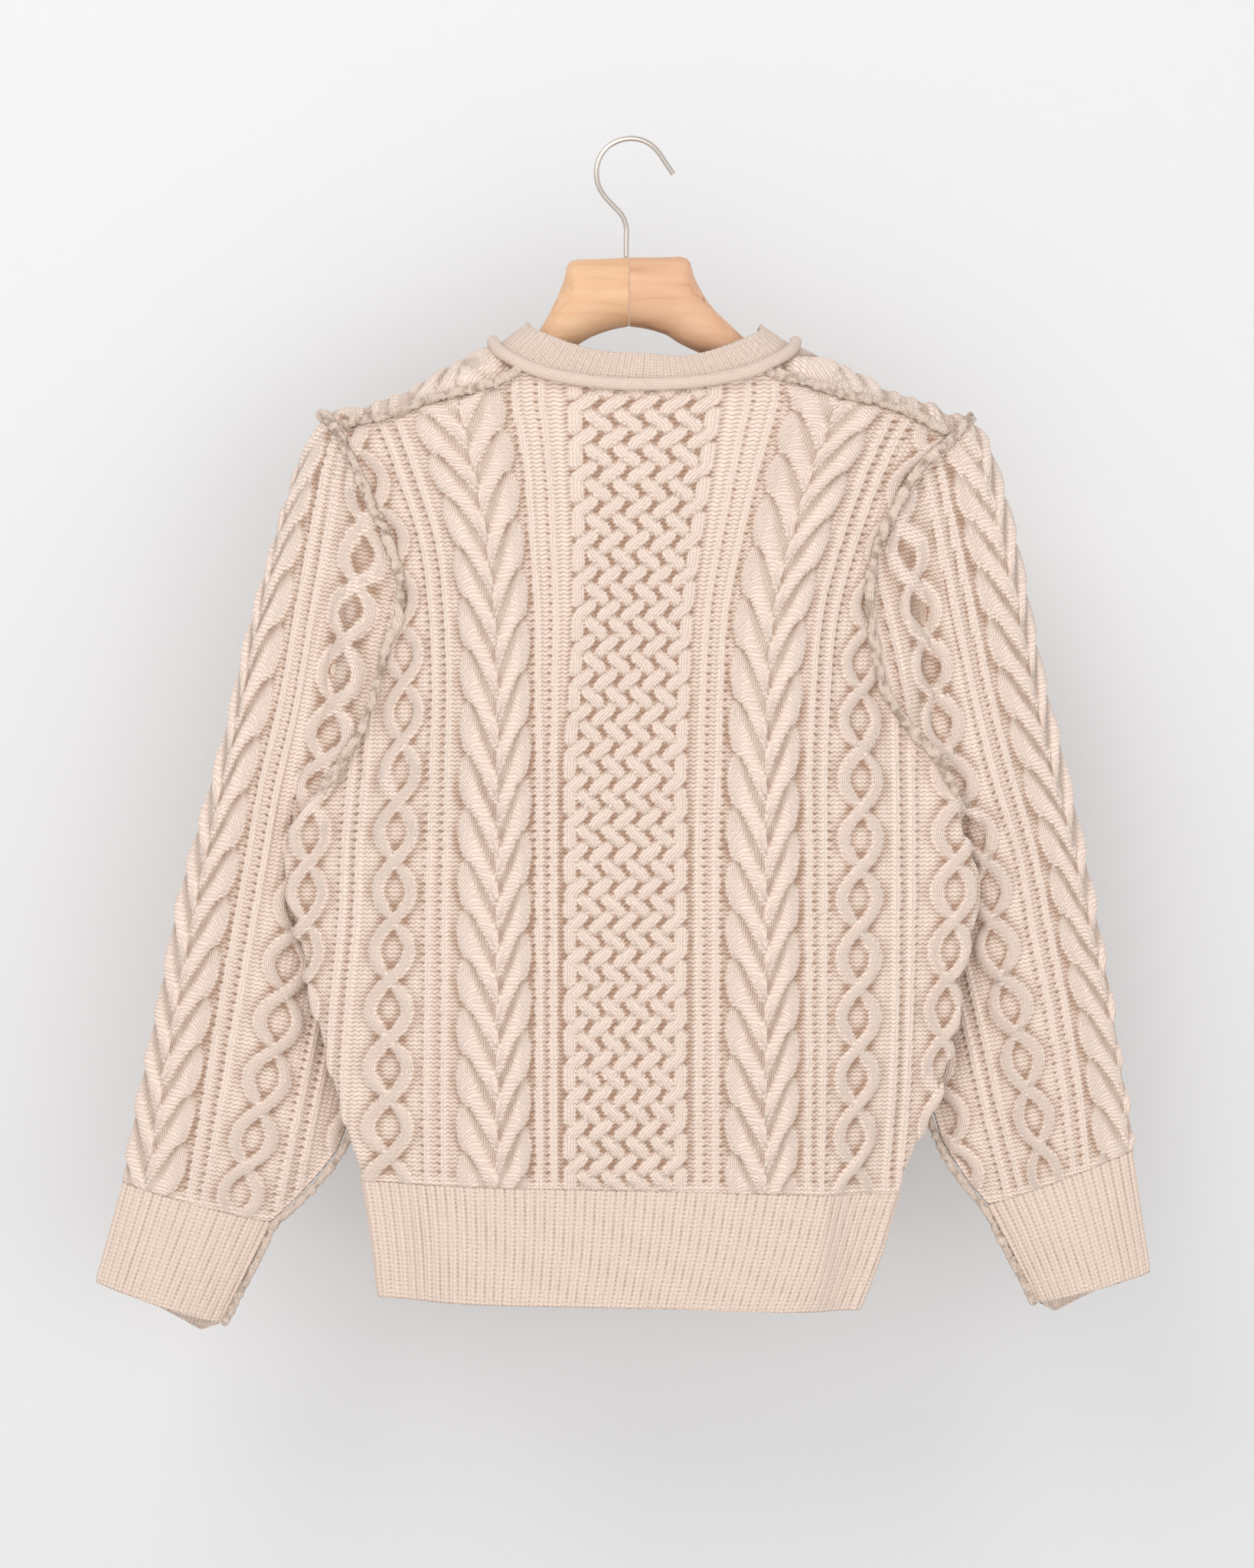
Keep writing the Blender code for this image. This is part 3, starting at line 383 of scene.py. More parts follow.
def shell(name, points, normals, knit, step, wrap=False, cells=None):
    """Closed cloth: fine relief outside, plain inside every step-th row and column."""
    rows, cols = points.shape[:2]
    cr, cc = (rows - 1) // step, (cols // step if wrap else (cols - 1) // step)
    cells = np.ones((cr, cc), dtype=bool) if cells is None else cells
    outer = points + normals * knit.height[..., None]
    ir = np.arange(cr + 1) * step
    ic = np.arange(cc if wrap else cc + 1) * step
    inner = (points - normals * CLOTH)[np.ix_(ir, ic)]
    n_out, wide = rows * cols, len(ic)
    fine = np.repeat(np.repeat(cells, step, axis=0), step, axis=1)
    r, c = np.nonzero(fine)
    d = (c + 1) % cols
    outside = np.stack([r * cols + c, r * cols + d, (r + 1) * cols + d, (r + 1) * cols + c], 1)
    r, c = np.nonzero(cells)
    d = (c + 1) % wide
    inside = n_out + np.stack([r * wide + c, (r + 1) * wide + c, (r + 1) * wide + d,
                               r * wide + d], 1)
    rim = []
    around = ((0, 0, 0, 1, -1, 0), (0, 1, 1, 1, 0, 1), (1, 1, 1, 0, 1, 0), (1, 0, 0, 0, 0, -1))
    for r, c in zip(*np.nonzero(cells)):
        for r0, c0, r1, c1, nr, nc in around:
            row, col = r + nr, c + nc
            if wrap:
                col %= cc
            if 0 <= row < cr and 0 <= col < cc and cells[row, col]:
                continue
            path = [((r + r0) * step + (r1 - r0) * j, ((c + c0) * step + (c1 - c0) * j) % cols)
                    for j in range(step + 1)]
            fine_ids = [a * cols + b for a, b in path]
            first = n_out + (r + r0) * wide + (c + c0) % wide
            last = n_out + (r + r1) * wide + (c + c1) % wide
            half = step // 2
            rim += [(fine_ids[j + 1], fine_ids[j], first) for j in range(half)]
            rim += [(fine_ids[j + 1], fine_ids[j], last) for j in range(half, step)]
            rim.append((fine_ids[half], first, last))
    verts = np.concatenate([outer.reshape(-1, 3), inner.reshape(-1, 3)]) * MM
    rim = np.array(rim)
    r, c = np.argwhere(fine)[0]
    a, b, e = outer[r, c], outer[r, (c + 1) % cols], outer[r + 1, c]
    if np.dot(np.cross(b - a, e - a), normals[r, c]) < 0:
        outside, inside, rim = outside[:, ::-1], inside[:, ::-1], rim[:, ::-1]

    def per_vertex(field):
        return np.concatenate([field.ravel(), field[np.ix_(ir, ic)].ravel()])

    # stitch coordinates per corner: a face that lies across the edge of a rope or a rib takes
    # the even coordinates of the ground, so no stitch is drawn out over it
    across, rows_at, kind = (per_vertex(f) for f in (knit.across, knit.rows, knit.kind))
    even = [per_vertex(f) for f in knit.ground]
    corners = [f[outside] for f in (across, rows_at, kind)]
    split = np.ptp(corners[0], axis=1) > 1.3
    for field, plain in zip(corners, (even[0], even[1], np.zeros(len(verts)))):
        field[split] = plain[outside[split]]
    hidden = np.concatenate([inside.ravel(), rim.ravel()])
    corners = [np.concatenate([field.ravel(), plain[hidden]])
               for field, plain in zip(corners, (even[0], even[1], np.ones(len(verts))))]
    # Painted shade: how far each point lies below the smoothed relief around it; the material
    # darkens the cloth by this much in the hollows of the cables
    hollow_shade = per_vertex(np.clip((soften(knit.height, 8, wrap) - knit.height) / 1.3, -1, 1))
    used = np.zeros(len(verts), dtype=bool)
    for group in (outside, inside, rim):
        used[group.ravel()] = True
    renumber = np.cumsum(used) - 1
    faces = [f for group in (outside, inside, rim) for f in renumber[group].tolist()]
    mesh = bpy.data.meshes.new(name)
    mesh.from_pydata(verts[used].tolist(), [], faces)
    mesh.update()
    for key, field in zip(("across", "rows", "kind"), corners):
        keep_field(mesh, key, "CORNER", field)
    keep_field(mesh, "hollow_shade", "POINT", hollow_shade[used])
    return place_piece(name, mesh)


def new_finish(name):
    """New material, with its nodes, its links and its shader."""
    mat = bpy.data.materials.new(name)
    mat.use_nodes = True
    return mat, mat.node_tree.nodes, mat.node_tree.links, mat.node_tree.nodes["Principled BSDF"]


def cloud(nodes, links, vector, scale, detail=2.0, distortion=0.0):
    """Noise of one scale over a set of coordinates."""
    node = nodes.new("ShaderNodeTexNoise")
    for key, value in (("Scale", scale), ("Detail", detail), ("Distortion", distortion)):
        node.inputs[key].default_value = value
    links.new(vector, node.inputs["Vector"])
    return node.outputs["Fac"]


def raise_surface(nodes, links, shader, height, strength, distance):
    """Fine relief by bump, with its depth in metres."""
    bump = nodes.new("ShaderNodeBump")
    bump.inputs["Strength"].default_value = strength
    bump.inputs["Distance"].default_value = distance
    links.new(height, bump.inputs["Height"])
    links.new(bump.outputs["Normal"], shader.inputs["Normal"])


def wool(name, colour, depth=0.9, dark=(0.44, 0.27, 0.18)):
    """Soft worsted wool: V stitches where kind is 1, purl bumps where it is 0, with painted shade
    in the grooves between stitches and in the hollows of the relief.
    """
    mat, nodes, links, shader = new_finish(name)

    def attribute(key):
        node = nodes.new("ShaderNodeAttribute")
        node.attribute_name = key
        return node.outputs["Fac"]

    def m(kind, a, b=None, c=None):
        node = nodes.new("ShaderNodeMath")
        node.operation = kind
        for slot, value in zip(node.inputs, (a, b, c)):
            if value is None:
                continue
            if isinstance(value, (int, float)):
                slot.default_value = value
            else:
                links.new(value, slot)
        return node.outputs[0]

    def mix(a, b, share):
        return m("ADD", m("MULTIPLY", a, m("SUBTRACT", 1.0, share)), m("MULTIPLY", b, share))

    across, rows, kind = attribute("across"), attribute("rows"), attribute("kind")
    hollow_shade = attribute("hollow_shade")
    at = nodes.new("ShaderNodeTexCoord").outputs["Object"]
    drift = cloud(nodes, links, at, 420.0, 3.0)
    tone = cloud(nodes, links, at, 38.0)
    fibre = cloud(nodes, links, at, 1500.0)
    wobble = m("MULTIPLY", m("SUBTRACT", drift, 0.5), 0.30)
    across = m("ADD", across, wobble)
    rows = m("ADD", rows, wobble)
    away = m("ABSOLUTE", m("SUBTRACT", m("MULTIPLY", m("FRACT", across), 2.0), 1.0))
    leg = m("SINE", m("MULTIPLY", m("FRACT", m("MULTIPLY", across, 2.0)), math.pi))
    turn = m("FRACT", m("SUBTRACT", rows, m("MULTIPLY", away, 0.55)))
    bead = m("SINE", m("MULTIPLY", turn, math.pi))
    knit = m("MULTIPLY", m("ADD", m("MULTIPLY", leg, 0.8), 0.2),
             m("ADD", m("MULTIPLY", bead, 0.5), 0.5))
    purl_across = m("MULTIPLY", across, 2 * math.pi / 1.3)
    sway = m("MULTIPLY", m("SINE", purl_across), 0.16)
    purl_turn = m("FRACT", m("ADD", rows, sway))
    bar = m("SINE", m("MULTIPLY", purl_turn, math.pi))
    gate = m("ADD", m("MULTIPLY", m("COSINE", purl_across), 0.2), 0.8)
    purl = m("MULTIPLY", m("POWER", bar, 0.7), gate)
    stitch = mix(purl, knit, kind)
    height = m("ADD", stitch, m("MULTIPLY", fibre, 0.30))
    raise_surface(nodes, links, shader, height, depth, 0.0011)
    # Painted shade: the colour darkens in the grooves between the stitch legs and bars, and more
    # in the hollows of the cables (pit), turning warmer and browner towards the dark end of the
    # ramp; the tone noise adds real random variation of the yarn
    groove_shade = m("MULTIPLY", m("POWER", m("SUBTRACT", 1.0, stitch), 2.5), 0.50)
    pit = m("MULTIPLY", m("MAXIMUM", hollow_shade, 0.0), 0.95)
    shade = m("MINIMUM", m("ADD", groove_shade, pit), 1.0)
    shade = m("ADD", shade, m("MULTIPLY", m("SUBTRACT", tone, 0.5), 0.10))
    ramp = nodes.new("ShaderNodeValToRGB")
    ramp.color_ramp.elements[0].color = (*colour, 1.0)
    ramp.color_ramp.elements[1].color = (*dark, 1.0)
    middle = ramp.color_ramp.elements.new(0.45)
    middle.color = (*[c * 0.82 * warm / 0.95 for c, warm in zip(colour, (0.97, 0.93, 0.90))], 1.0)
    links.new(shade, ramp.inputs["Fac"])
    links.new(ramp.outputs["Color"], shader.inputs["Base Color"])
    rough = m("ADD", m("MULTIPLY", fibre, 0.1), 0.86)
    links.new(rough, shader.inputs["Roughness"])
    shader.inputs["Sheen Weight"].default_value = 0.25
    shader.inputs["Sheen Roughness"].default_value = 0.6
    shader.inputs["Specular IOR Level"].default_value = 0.2
    return mat


def near_edges(shape, reach_rows, reach_cols, wrap=False):
    """1 in the middle of a panel and 0 at its sewn edges."""
    r, c = from_ends(shape[0])[:, None] / reach_rows, from_ends(shape[1])[None, :] / reach_cols
    fade = ease(r) * (1 if wrap else ease(c))
    return np.broadcast_to(fade, shape)


def body_knit(points, down=None):
    """The body's columns of cables, laid out over a grid of points."""
    x, z = points[..., 0], points[..., 2]
    heights = [row[0] for row in COLUMN_LINES][::-1]
    lines = [smooth(heights, [row[k] for row in COLUMN_LINES][::-1], z)
             for k in range(1, len(COLUMN_LINES[0]))]
    place = COLUMN_PLACES[0] + np.minimum(x - lines[0], 0)
    place = place + np.maximum(x - lines[-1], 0)
    for left, right, p0, p1 in zip(lines, lines[1:], COLUMN_PLACES, COLUMN_PLACES[1:]):
        place = place + np.clip((x - left) / (right - left), 0, 1) * (p1 - p0)
    down = -z if down is None else down
    drift = np.gradient(place, axis=1) / np.maximum(np.abs(np.gradient(x, axis=1)), 0.3)
    knit = Knit(place, down, np.clip(drift, 0.5, 1.4))
    knit.plait(0, strands=10, start=386.9)
    turn = np.interp(down, WISH_DOWN, WISH_TURNS)
    turn = (turn + np.maximum(down - WISH_DOWN[-1], 0) / WISH_RISE
            + np.minimum(down - WISH_DOWN[0], 0) / 28)
    for side, inner_start, outer_start in ((-1, 358.6, 434.0), (1, 363.3, 469.3)):
        knit.ladder(side * LADDER_1, side)
        knit.wishbone(side * WISHBONE, turn)
        knit.ladder(side * LADDER_2, side)
        knit.diamonds(side * (DIAMOND_1 + 0.2), (down - inner_start) / DIAMOND_RISE + 0.5)
        knit.ladder(side * LADDER_3, side)
        knit.diamonds(side * DIAMOND_2, (down - outer_start) / OUTER_RISE + 0.5)
    return knit


def settle(piece, material, node):
    """Gives a finished piece its material, its place in the frame and its finish."""
    piece.data.materials.append(material)
    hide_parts(node)
    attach(piece, "root")


WOOL = (0.93, 0.755, 0.645)
STEP = 8             # fine cells of the show side for each plain cell of the inside
share = np.linspace(0, 1, 34 * STEP + 1)[None, :]
levels_down = np.linspace(0, RIB_LINE, 39 * STEP + 1)[:, None]
points = back_surface(share, levels_down)
normals = grid_normals(points, np.array([0.0, -1.0, 0.0]))
knit = body_knit(points)
fade = near_edges(points.shape[:2], 5, 4)
melt(knit, fade)
back = shell("back_cables", points, normals, knit, STEP)
cable_wool = wool("cable_wool", WOOL)
settle(back, cable_wool, "back_panel")

# ---- Front panel ------------------------------------------------------------------------------
# The far half of the body in the same knit, cut lower at the neck. Its shoulders come over the
# top of the hanger and are sewn to the back a little below the ridge, so a strip of it shows.
FRONT_SHARE = 0.85
FRONT_TOP = [(-170, -206), (-140, -200), (-110, -190), (-80, -178), (-58, -170), (-40, -182),
             (-18, -192), (9, -196), (37, -192), (59, -182), (77, -170), (100, -178),
             (125, -188), (155, -199), (181, -206)]
FRONT_NECK = ((-58 + 170) / 351, (77 + 170) / 351)
# turn over the ridge, then x at armhole and neck on the left, and on the right
FLAP = [(0.0, -181, -62, 201, 80), (0.25, -187, -78.5, 208, 96.5), (0.5, -190, -83, 212, 101),
        (0.75, -187, -81.5, 208, 99.5), (1.0, -181, -76, 201, 94)]


def front_surface(share, t):
    """Front of the body at share 0 to 1 across and level t, on the same edges as the back."""
    share, t = spread(share, t)
    left, right = back_surface(0.0, t), back_surface(1.0, t)
    for edge in (left, right):
        edge[..., 1] = np.where(t < UNDERARM, level("yf", t), edge[..., 1])
    x, z = (left[..., k] + (right[..., k] - left[..., k]) * share for k in (0, 2))
    lift = line(FRONT_TOP, -170 + 351 * share) + 206
    z = z + np.where(t < 7, lift * (1 - ease((t - 1) / 6)), 0.0)
    side_x, side_y = (np.where(share < 0.5, left[..., k], right[..., k]) for k in (0, 1))
    inside = ease(np.abs(x - side_x) / np.where(t >= UNDERARM, 70, 45))
    y = side_y * (1 - inside) + FRONT_SHARE * half_depth(x, z) * inside
    return np.stack([x, y, z], axis=-1)


def flap_surface(side, c, q):
    """Shoulder strip: c from armhole (0) to neck (1), q from the seam (0) to the front (1)."""
    c, q = spread(c, q)
    first = 1 if side == "left" else 3
    turns = [row[0] for row in FLAP]
    xa = smooth(turns, [row[first] for row in FLAP], q)
    xn = smooth(turns, [row[first + 1] for row in FLAP], q)
    x = xa + (xn - xa) * c
    x0 = FLAP[0][first] + (FLAP[0][first + 1] - FLAP[0][first]) * c
    drop = (line(RIDGE_LINE, x0) - line(BACK_TOP, x0)) * np.abs(1 - 2 * q) ** 1.6
    z = line(RIDGE_LINE, x) - drop
    y = half_depth(x, z) * np.where(q < 0.5, -1, FRONT_SHARE)
    return np.stack([x, y, z], axis=-1)


# coarse cells: down the shoulder strips, across each of them, across the neck, down the front
FLAP_CELLS, SIDE_CELLS, MID_CELLS, DOWN_CELLS = 3, 9, 7, 26
n, flap_rows = SIDE_CELLS * STEP, FLAP_CELLS * STEP
side_share = (np.arange(n) / n) ** 1.2
mid_share = np.arange(MID_CELLS * STEP + 1) / (MID_CELLS * STEP)
first, last = FRONT_NECK
share = np.concatenate([first * side_share, first + (last - first) * mid_share,
                        (1 - (1 - last) * side_share)[::-1]])
turn_down = 1 - np.arange(0, flap_rows) / flap_rows
over = 1 - turn_down
levels_down = np.linspace(1, RIB_LINE, DOWN_CELLS * STEP + 1)
main = front_surface(share[None, :], levels_down[:, None])
strip = np.zeros((flap_rows, len(share), 3))
strip[:, :n] = flap_surface("left", share[None, :n] / first, over[:, None])
strip[:, -n:] = flap_surface("right", (1 - share[None, -n:]) / (1 - last), over[:, None])
strip[:, n] = flap_surface("left", 1.0, over)
strip[:, -n - 1] = flap_surface("right", 1.0, over)
# nothing is built in the neck opening: these points only carry the grid across it
strip[:, n + 1:-n - 1] = (main[:1, n + 1:-n - 1]
                          + np.array([0.0, 0.0, 1.0]) * (turn_down[:, None, None] * 30))
points = np.concatenate([strip, main])
cells = np.ones((FLAP_CELLS + DOWN_CELLS, 2 * SIDE_CELLS + MID_CELLS), dtype=bool)
cells[:FLAP_CELLS, SIDE_CELLS:SIDE_CELLS + MID_CELLS] = False
normals = grid_normals(points, np.array([0.0, 1.0, 0.0]))
run = travel(points, 0)
pattern_down = run - run[flap_rows] - main[0, :, 2]
flat = points.copy()
flat[:flap_rows, :, 2] = -pattern_down[:flap_rows]
knit = body_knit(flat, pattern_down)
fade = near_edges(points.shape[:2], 4, 4).copy()
cols = np.arange(len(share))
neck_edge = (n, len(share) - n - 1)
to_neck = np.minimum(np.abs(cols - neck_edge[0]), np.abs(cols - neck_edge[1]))
neck_cols = (cols >= neck_edge[0]) & (cols <= neck_edge[1])
below_neck = np.abs(np.arange(len(points)) - flap_rows)[:, None]
fade[:, neck_cols] = np.minimum(fade[:, neck_cols], ease(below_neck / 4))
fade[:flap_rows] = np.minimum(fade[:flap_rows], ease(to_neck / 4)[None, :])
melt(knit, fade)
front = shell("front_cables", points, normals, knit, STEP, cells=cells)
settle(front, cable_wool, "front_panel")


# ---- Hem rib ------------------------------------------------------------------------------------
# Tube of narrow upright rib, knitted on below the cables of both panels and ended in a plain
# edge. It follows the width of the body and swings in a few soft folds.
def ribs(points, pitch, crest=1.3, rows_scale=1.0):
    """Upright ribs, evenly spaced round each ring of the grid."""
    run = travel(np.concatenate([points, points[:, :1]], axis=1), 1)
    count = int(round(np.median(run[:, -1:]) / pitch))
    across = run[:, :-1] / run[:, -1:] * count
    down = travel(points, 0)
    knit = Knit(across * pitch, down)
    wave = np.abs(np.sin(math.pi * across))
    knit.height = crest * wave ** 0.7 - 0.4
    knit.across = count / 2 - np.abs(across - count / 2)
    knit.rows = down / (ROW * rows_scale)
    knit.kind = ease((wave - 0.25) / 0.2)
    knit.ground = (knit.across, knit.rows)
    return knit


def thin_lip(knit):
    """Lowers the ribs towards the plain edge at the foot."""
    rows = len(knit.height)
    lip = np.minimum(1, (rows - 1 - np.arange(rows)) / 4)[:, None]
    knit.height = knit.height * (0.35 + 0.65 * ease(lip))


RIB_WOOL = (0.85, 0.68, 0.57)
RIB_STEP, HEM_CELLS, BACK_COLS, FRONT_COLS = 6, 9, 50, 48
hem_down = np.linspace(RIB_LINE, 21, HEM_CELLS * RIB_STEP + 1)[:, None]
back_half = back_surface(np.linspace(0, 1, BACK_COLS * RIB_STEP + 1)[None, :-1], hem_down)
front_half = front_surface(np.linspace(1, 0, FRONT_COLS * RIB_STEP + 1)[None, :-1], hem_down)
points = np.concatenate([back_half, front_half], axis=1)
away = np.concatenate([np.tile([0.0, -1.0, 0.0], (*back_half.shape[:2], 1)),
                       np.tile([0.0, 1.0, 0.0], (*front_half.shape[:2], 1))], axis=1)
normals = grid_normals(points, away, wrap=True)
knit = ribs(points, 5.95)
thin_lip(knit)
hem = shell("hem_ribbing", points, normals, knit, RIB_STEP, wrap=True)
rib_wool = wool("rib_wool", RIB_WOOL)
settle(hem, rib_wool, "hem_rib")

# ---- Sleeves ------------------------------------------------------------------------------------
# Set-in sleeves with a wishbone cable down the outer arm between ladders and diamonds. They
# hang nearly flat beside the body and close along a seam on the inner side.
# outer fold x z, seam x z, and how far the ring still follows the armhole
SLEEVES = {
    "left": [(-190, -173, -207, -437, 1.0), (-201, -192, -214, -435, 0.66),
             (-212, -222, -216, -440, 0.40), (-224, -262, -212, -453, 0.18),
             (-239, -314, -205, -474, 0.05), (-251, -367, -198, -502, 0.0),
             (-266, -421, -191, -536, 0.0), (-281, -473, -185, -566, 0.0),
             (-291, -525, -180, -592, 0.0), (-301, -573, -177, -616, 0.0),
             (-309, -612, -187, -638, 0.0), (-313, -634, -205, -659, 0.0),
             (-317, -652, -225, -678, 0.0)],
    "right": [(212, -175, 204, -440, 1.0), (223, -188, 208, -444, 0.74),
              (235, -220, 209, -450, 0.46), (244, -255, 208, -461, 0.22),
              (252, -300, 205, -479, 0.07), (261, -345, 202, -503, 0.0),
              (272, -390, 198, -534, 0.0), (283, -442, 195, -562, 0.0),
              (292, -488, 192, -584, 0.0), (300, -535, 190, -604, 0.0),
              (306, -577, 198, -629, 0.0), (311, -606, 210, -649, 0.0),
              (315, -632, 225, -667, 0.0)]}
# for each ring: depth of the outer fold and of the seam, half depth to the back and to the front
SLEEVE_DEPTHS = [
    (0, -8, 22, 20), (0, -3, 22, 20), (0, 3, 21, 19), (0, 7, 20, 18), (0, 10, 19, 17),
    (0, 11, 18, 15), (0, 11, 17, 14), (0, 11, 16, 13), (0, 10, 15, 12), (0, 8, 15, 12),
    (-1, 5, 14, 11), (-1, 3, 13, 11), (-2, 1, 12, 10)]


def rings_table(outline, depths):
    return [row[:4] + depth + row[4:] for row, depth in zip(outline, depths)]


SLEEVE_TABLES = {side: rings_table(SLEEVES[side], SLEEVE_DEPTHS) for side in SLEEVES}
# distance down the arm, then across it: ladder beside the wishbone, diamonds, second ladder
ARM_LINES = {
    "left": [(240, -139, -120, -76), (290, -139, -110, -76), (340, -138, -111, -76),
             (390, -137, -109, -76), (440, -139, -109, -76), (490, -138, -107, -76),
             (540, -137, -106, -76), (590, -136, -103, -76), (640, -134, -104, -76),
             (690, -132, -107, -76)],
    "right": [(240, -138, -110, -87), (290, -138, -110, -87), (340, -138, -110, -87),
              (390, -138, -108, -87), (440, -140, -108, -87), (490, -143, -117, -88),
              (540, -142, -111, -88), (590, -141, -112, -88), (640, -138, -111, -88),
              (690, -132, -110, -90)]}
ARM_AXES = {"left": ((-0.2, -0.98), (0.98, -0.2)), "right": ((0.22, -0.975), (-0.975, -0.22))}
# distance down the arm of each crevice of the wishbone, at its inner edge
ARM_KNOTS = {
    "left": (263, 291, 325, 357, 396, 430, 468, 499, 530, 564, 593, 625, 656, 687),
    "right": (264, 294, 326, 358, 390, 422, 454, 486, 517, 549, 577, 609, 638, 668)}
# distance down the arm of the middle of each diamond
ARM_DIAMONDS = {
    "left": (249, 291, 324, 364, 402, 436, 473, 510, 548, 584, 620, 659, 694),
    "right": (255, 291, 327, 363, 398, 438, 469, 508, 543, 580, 614, 651, 687)}


def polyline(points):
    """Distance along a line of points."""
    step = np.linalg.norm(np.diff(points, axis=0), axis=1)
    return np.concatenate([[0.0], np.cumsum(step)])


def armhole(side):
    """Armhole loop from the ridge down: knots along the back and front halves, and points."""
    share = 0.0 if side == "left" else 1.0
    edge = back_surface(share, np.arange(0, UNDERARM + 1))
    back = np.concatenate([flap_surface(side, 0.0, np.array([0.5, 0.25])), edge])
    far = edge[1:].copy()
    far[:-1, 1] = level("yf", np.arange(1, UNDERARM))
    front = np.concatenate([flap_surface(side, 0.0, np.array([0.5, 0.75, 1.0])), far])
    loops = []
    for points in (back, front):
        knots = polyline(points)
        loops.append((knots / knots[-1], points))
    return loops


def half_section(row, share, towards):
    """Back (-1) or front (1) half of the sleeve's rings, from the outer fold to the seam."""
    xo, zo, xi, zi, yo, yi, hb, hf = (row[k][:, None] for k in range(8))
    belly = np.clip(4 * share * (1 - share), 0, 1) ** (0.5 + 0.5 * share)
    depth = hb if towards < 0 else hf
    return np.stack([xo + (xi - xo) * share, yo + (yi - yo) * share + towards * depth * belly,
                     zo + (zi - zo) * share], axis=-1)


def sleeve_surface(side, table, at, around, crease=True):
    """Rings at rows `at` of a table; around columns on each half, outer fold first."""
    row = [column(table, k, at) for k in range(9)]
    trial = np.linspace(0, 1, 400)
    arc = polyline(np.stack([trial * 8, np.clip(4 * trial * (1 - trial), 0, 1)
                             ** (0.5 + 0.5 * trial)], axis=1))
    share = np.interp(np.linspace(0, arc[-1], around + 1), arc, trial)[None, :]
    halves = []
    for (knots, loop), towards in zip(armhole(side), (-1, 1)):
        ring = half_section(row, share, towards)
        first = half_section([np.array([table[0][k]], dtype=float) for k in range(8)], share,
                             towards)
        edge = np.stack([smooth(knots, loop[:, k], share[0]) for k in range(3)], axis=-1)
        join = np.clip(row[8], 0, 1)[:, None, None]
        ring = ring + join * (edge[None] - first)
        if crease:
            bend = folds(ring[..., 0], ring[..., 2]) * np.sin(math.pi * share)
            ring[..., 1] -= bend * (1 - join[..., 0]).clip(0, 1) ** 0.3
        halves.append(ring)
    return np.concatenate([halves[0], halves[1][:, -2:0:-1]], axis=1), share[0]


def ring_away(points):
    return points - points.mean(axis=1, keepdims=True)


FOLD_REACH = 24.0   # cloth taken up in turning round the outer fold


def arm_pattern(points, around, side):
    """Distance down the arm and across the cloth, running on round the outer fold."""
    (ax, az), (cx, cz) = ARM_AXES[side]
    down = points[..., 0] * ax + points[..., 2] * az
    across = points[..., 0] * cx + points[..., 2] * cz
    run = travel(points, 1)
    extra = run - (across - across[:, :1])
    settled = np.array([[np.interp(FOLD_REACH, t, e)] for t, e in zip(run, extra)])
    near = across - settled + np.minimum(extra, settled)
    back_part = near[:, :around + 1]
    fold_at = back_part[:, :1]
    rest = travel(points[:, ::-1], 1)[:, :0:-1]
    closing = np.linalg.norm(points[:, :1] - points[:, -1:], axis=2)
    front_part = fold_at - (rest[:, around + 1:] + closing)
    return down, np.concatenate([back_part, front_part, fold_at - closing], axis=1)


# places of the arm's columns on the flat pattern, from the middle of the wishbone
ARM_LADDER, ARM_DIAMOND, ARM_LADDER_2, FAR_DIAMOND = 33, 60, 87, 116
AROUND, ARM_CELLS = 11 * STEP, 35
for side, table in SLEEVE_TABLES.items():
    trial_rows = np.linspace(0, len(table) - 1, 121)
    rough, _ = sleeve_surface(side, table, trial_rows, AROUND)
    middle_run = polyline(rough[:, AROUND // 3])
    at = np.interp(np.linspace(0, middle_run[-1], ARM_CELLS * STEP + 1), middle_run, trial_rows)
    points, _ = sleeve_surface(side, table, at, AROUND)
    normals = grid_normals(points, ring_away(points), wrap=True)
    down, run = arm_pattern(points, AROUND, side)
    lines = ARM_LINES[side]
    ladder, diamond, second = (smooth([r[0] for r in lines], [r[k] for r in lines], down)
                               for k in (1, 2, 3))
    gap = ARM_DIAMOND - ARM_LADDER
    place = np.select(
        [run < ladder, run < diamond, run < second],
        [ARM_LADDER + run - ladder, ARM_LADDER + gap * (run - ladder) / (diamond - ladder),
         ARM_DIAMOND + gap * (run - diamond) / (second - diamond)],
        ARM_LADDER_2 + run - second)
    knit = Knit(place, down)
    knots = ARM_KNOTS[side]
    turn = np.interp(down, knots, range(len(knots)))
    turn = turn + np.minimum(down - knots[0], 0) / 30 + np.maximum(down - knots[-1], 0) / 30
    knit.wishbone(0, turn)
    centres = ARM_DIAMONDS[side]
    links_at = np.interp(down, centres, range(len(centres))) + 0.5
    links_at = links_at + np.minimum(down - centres[0], 0) / 36 + np.maximum(
        down - centres[-1], 0) / 36
    hand = -1 if side == "left" else 1
    for sign in (-1, 1):
        knit.ladder(sign * ARM_LADDER, hand)
        knit.diamonds(sign * ARM_DIAMOND, links_at)
        knit.ladder(sign * ARM_LADDER_2, hand)
    knit.diamonds(FAR_DIAMOND, links_at + 0.3)
    fade = near_edges(points.shape[:2], 5, 1, wrap=True)
    seam = ease(np.abs(np.arange(2 * AROUND) - AROUND) / 4)[None, :]
    melt(knit, fade * seam, wrap=True)
    sleeve = shell("sleeve_cables_" + side, points, normals, knit, STEP, wrap=True)
    settle(sleeve, cable_wool, "sleeve_" + side)

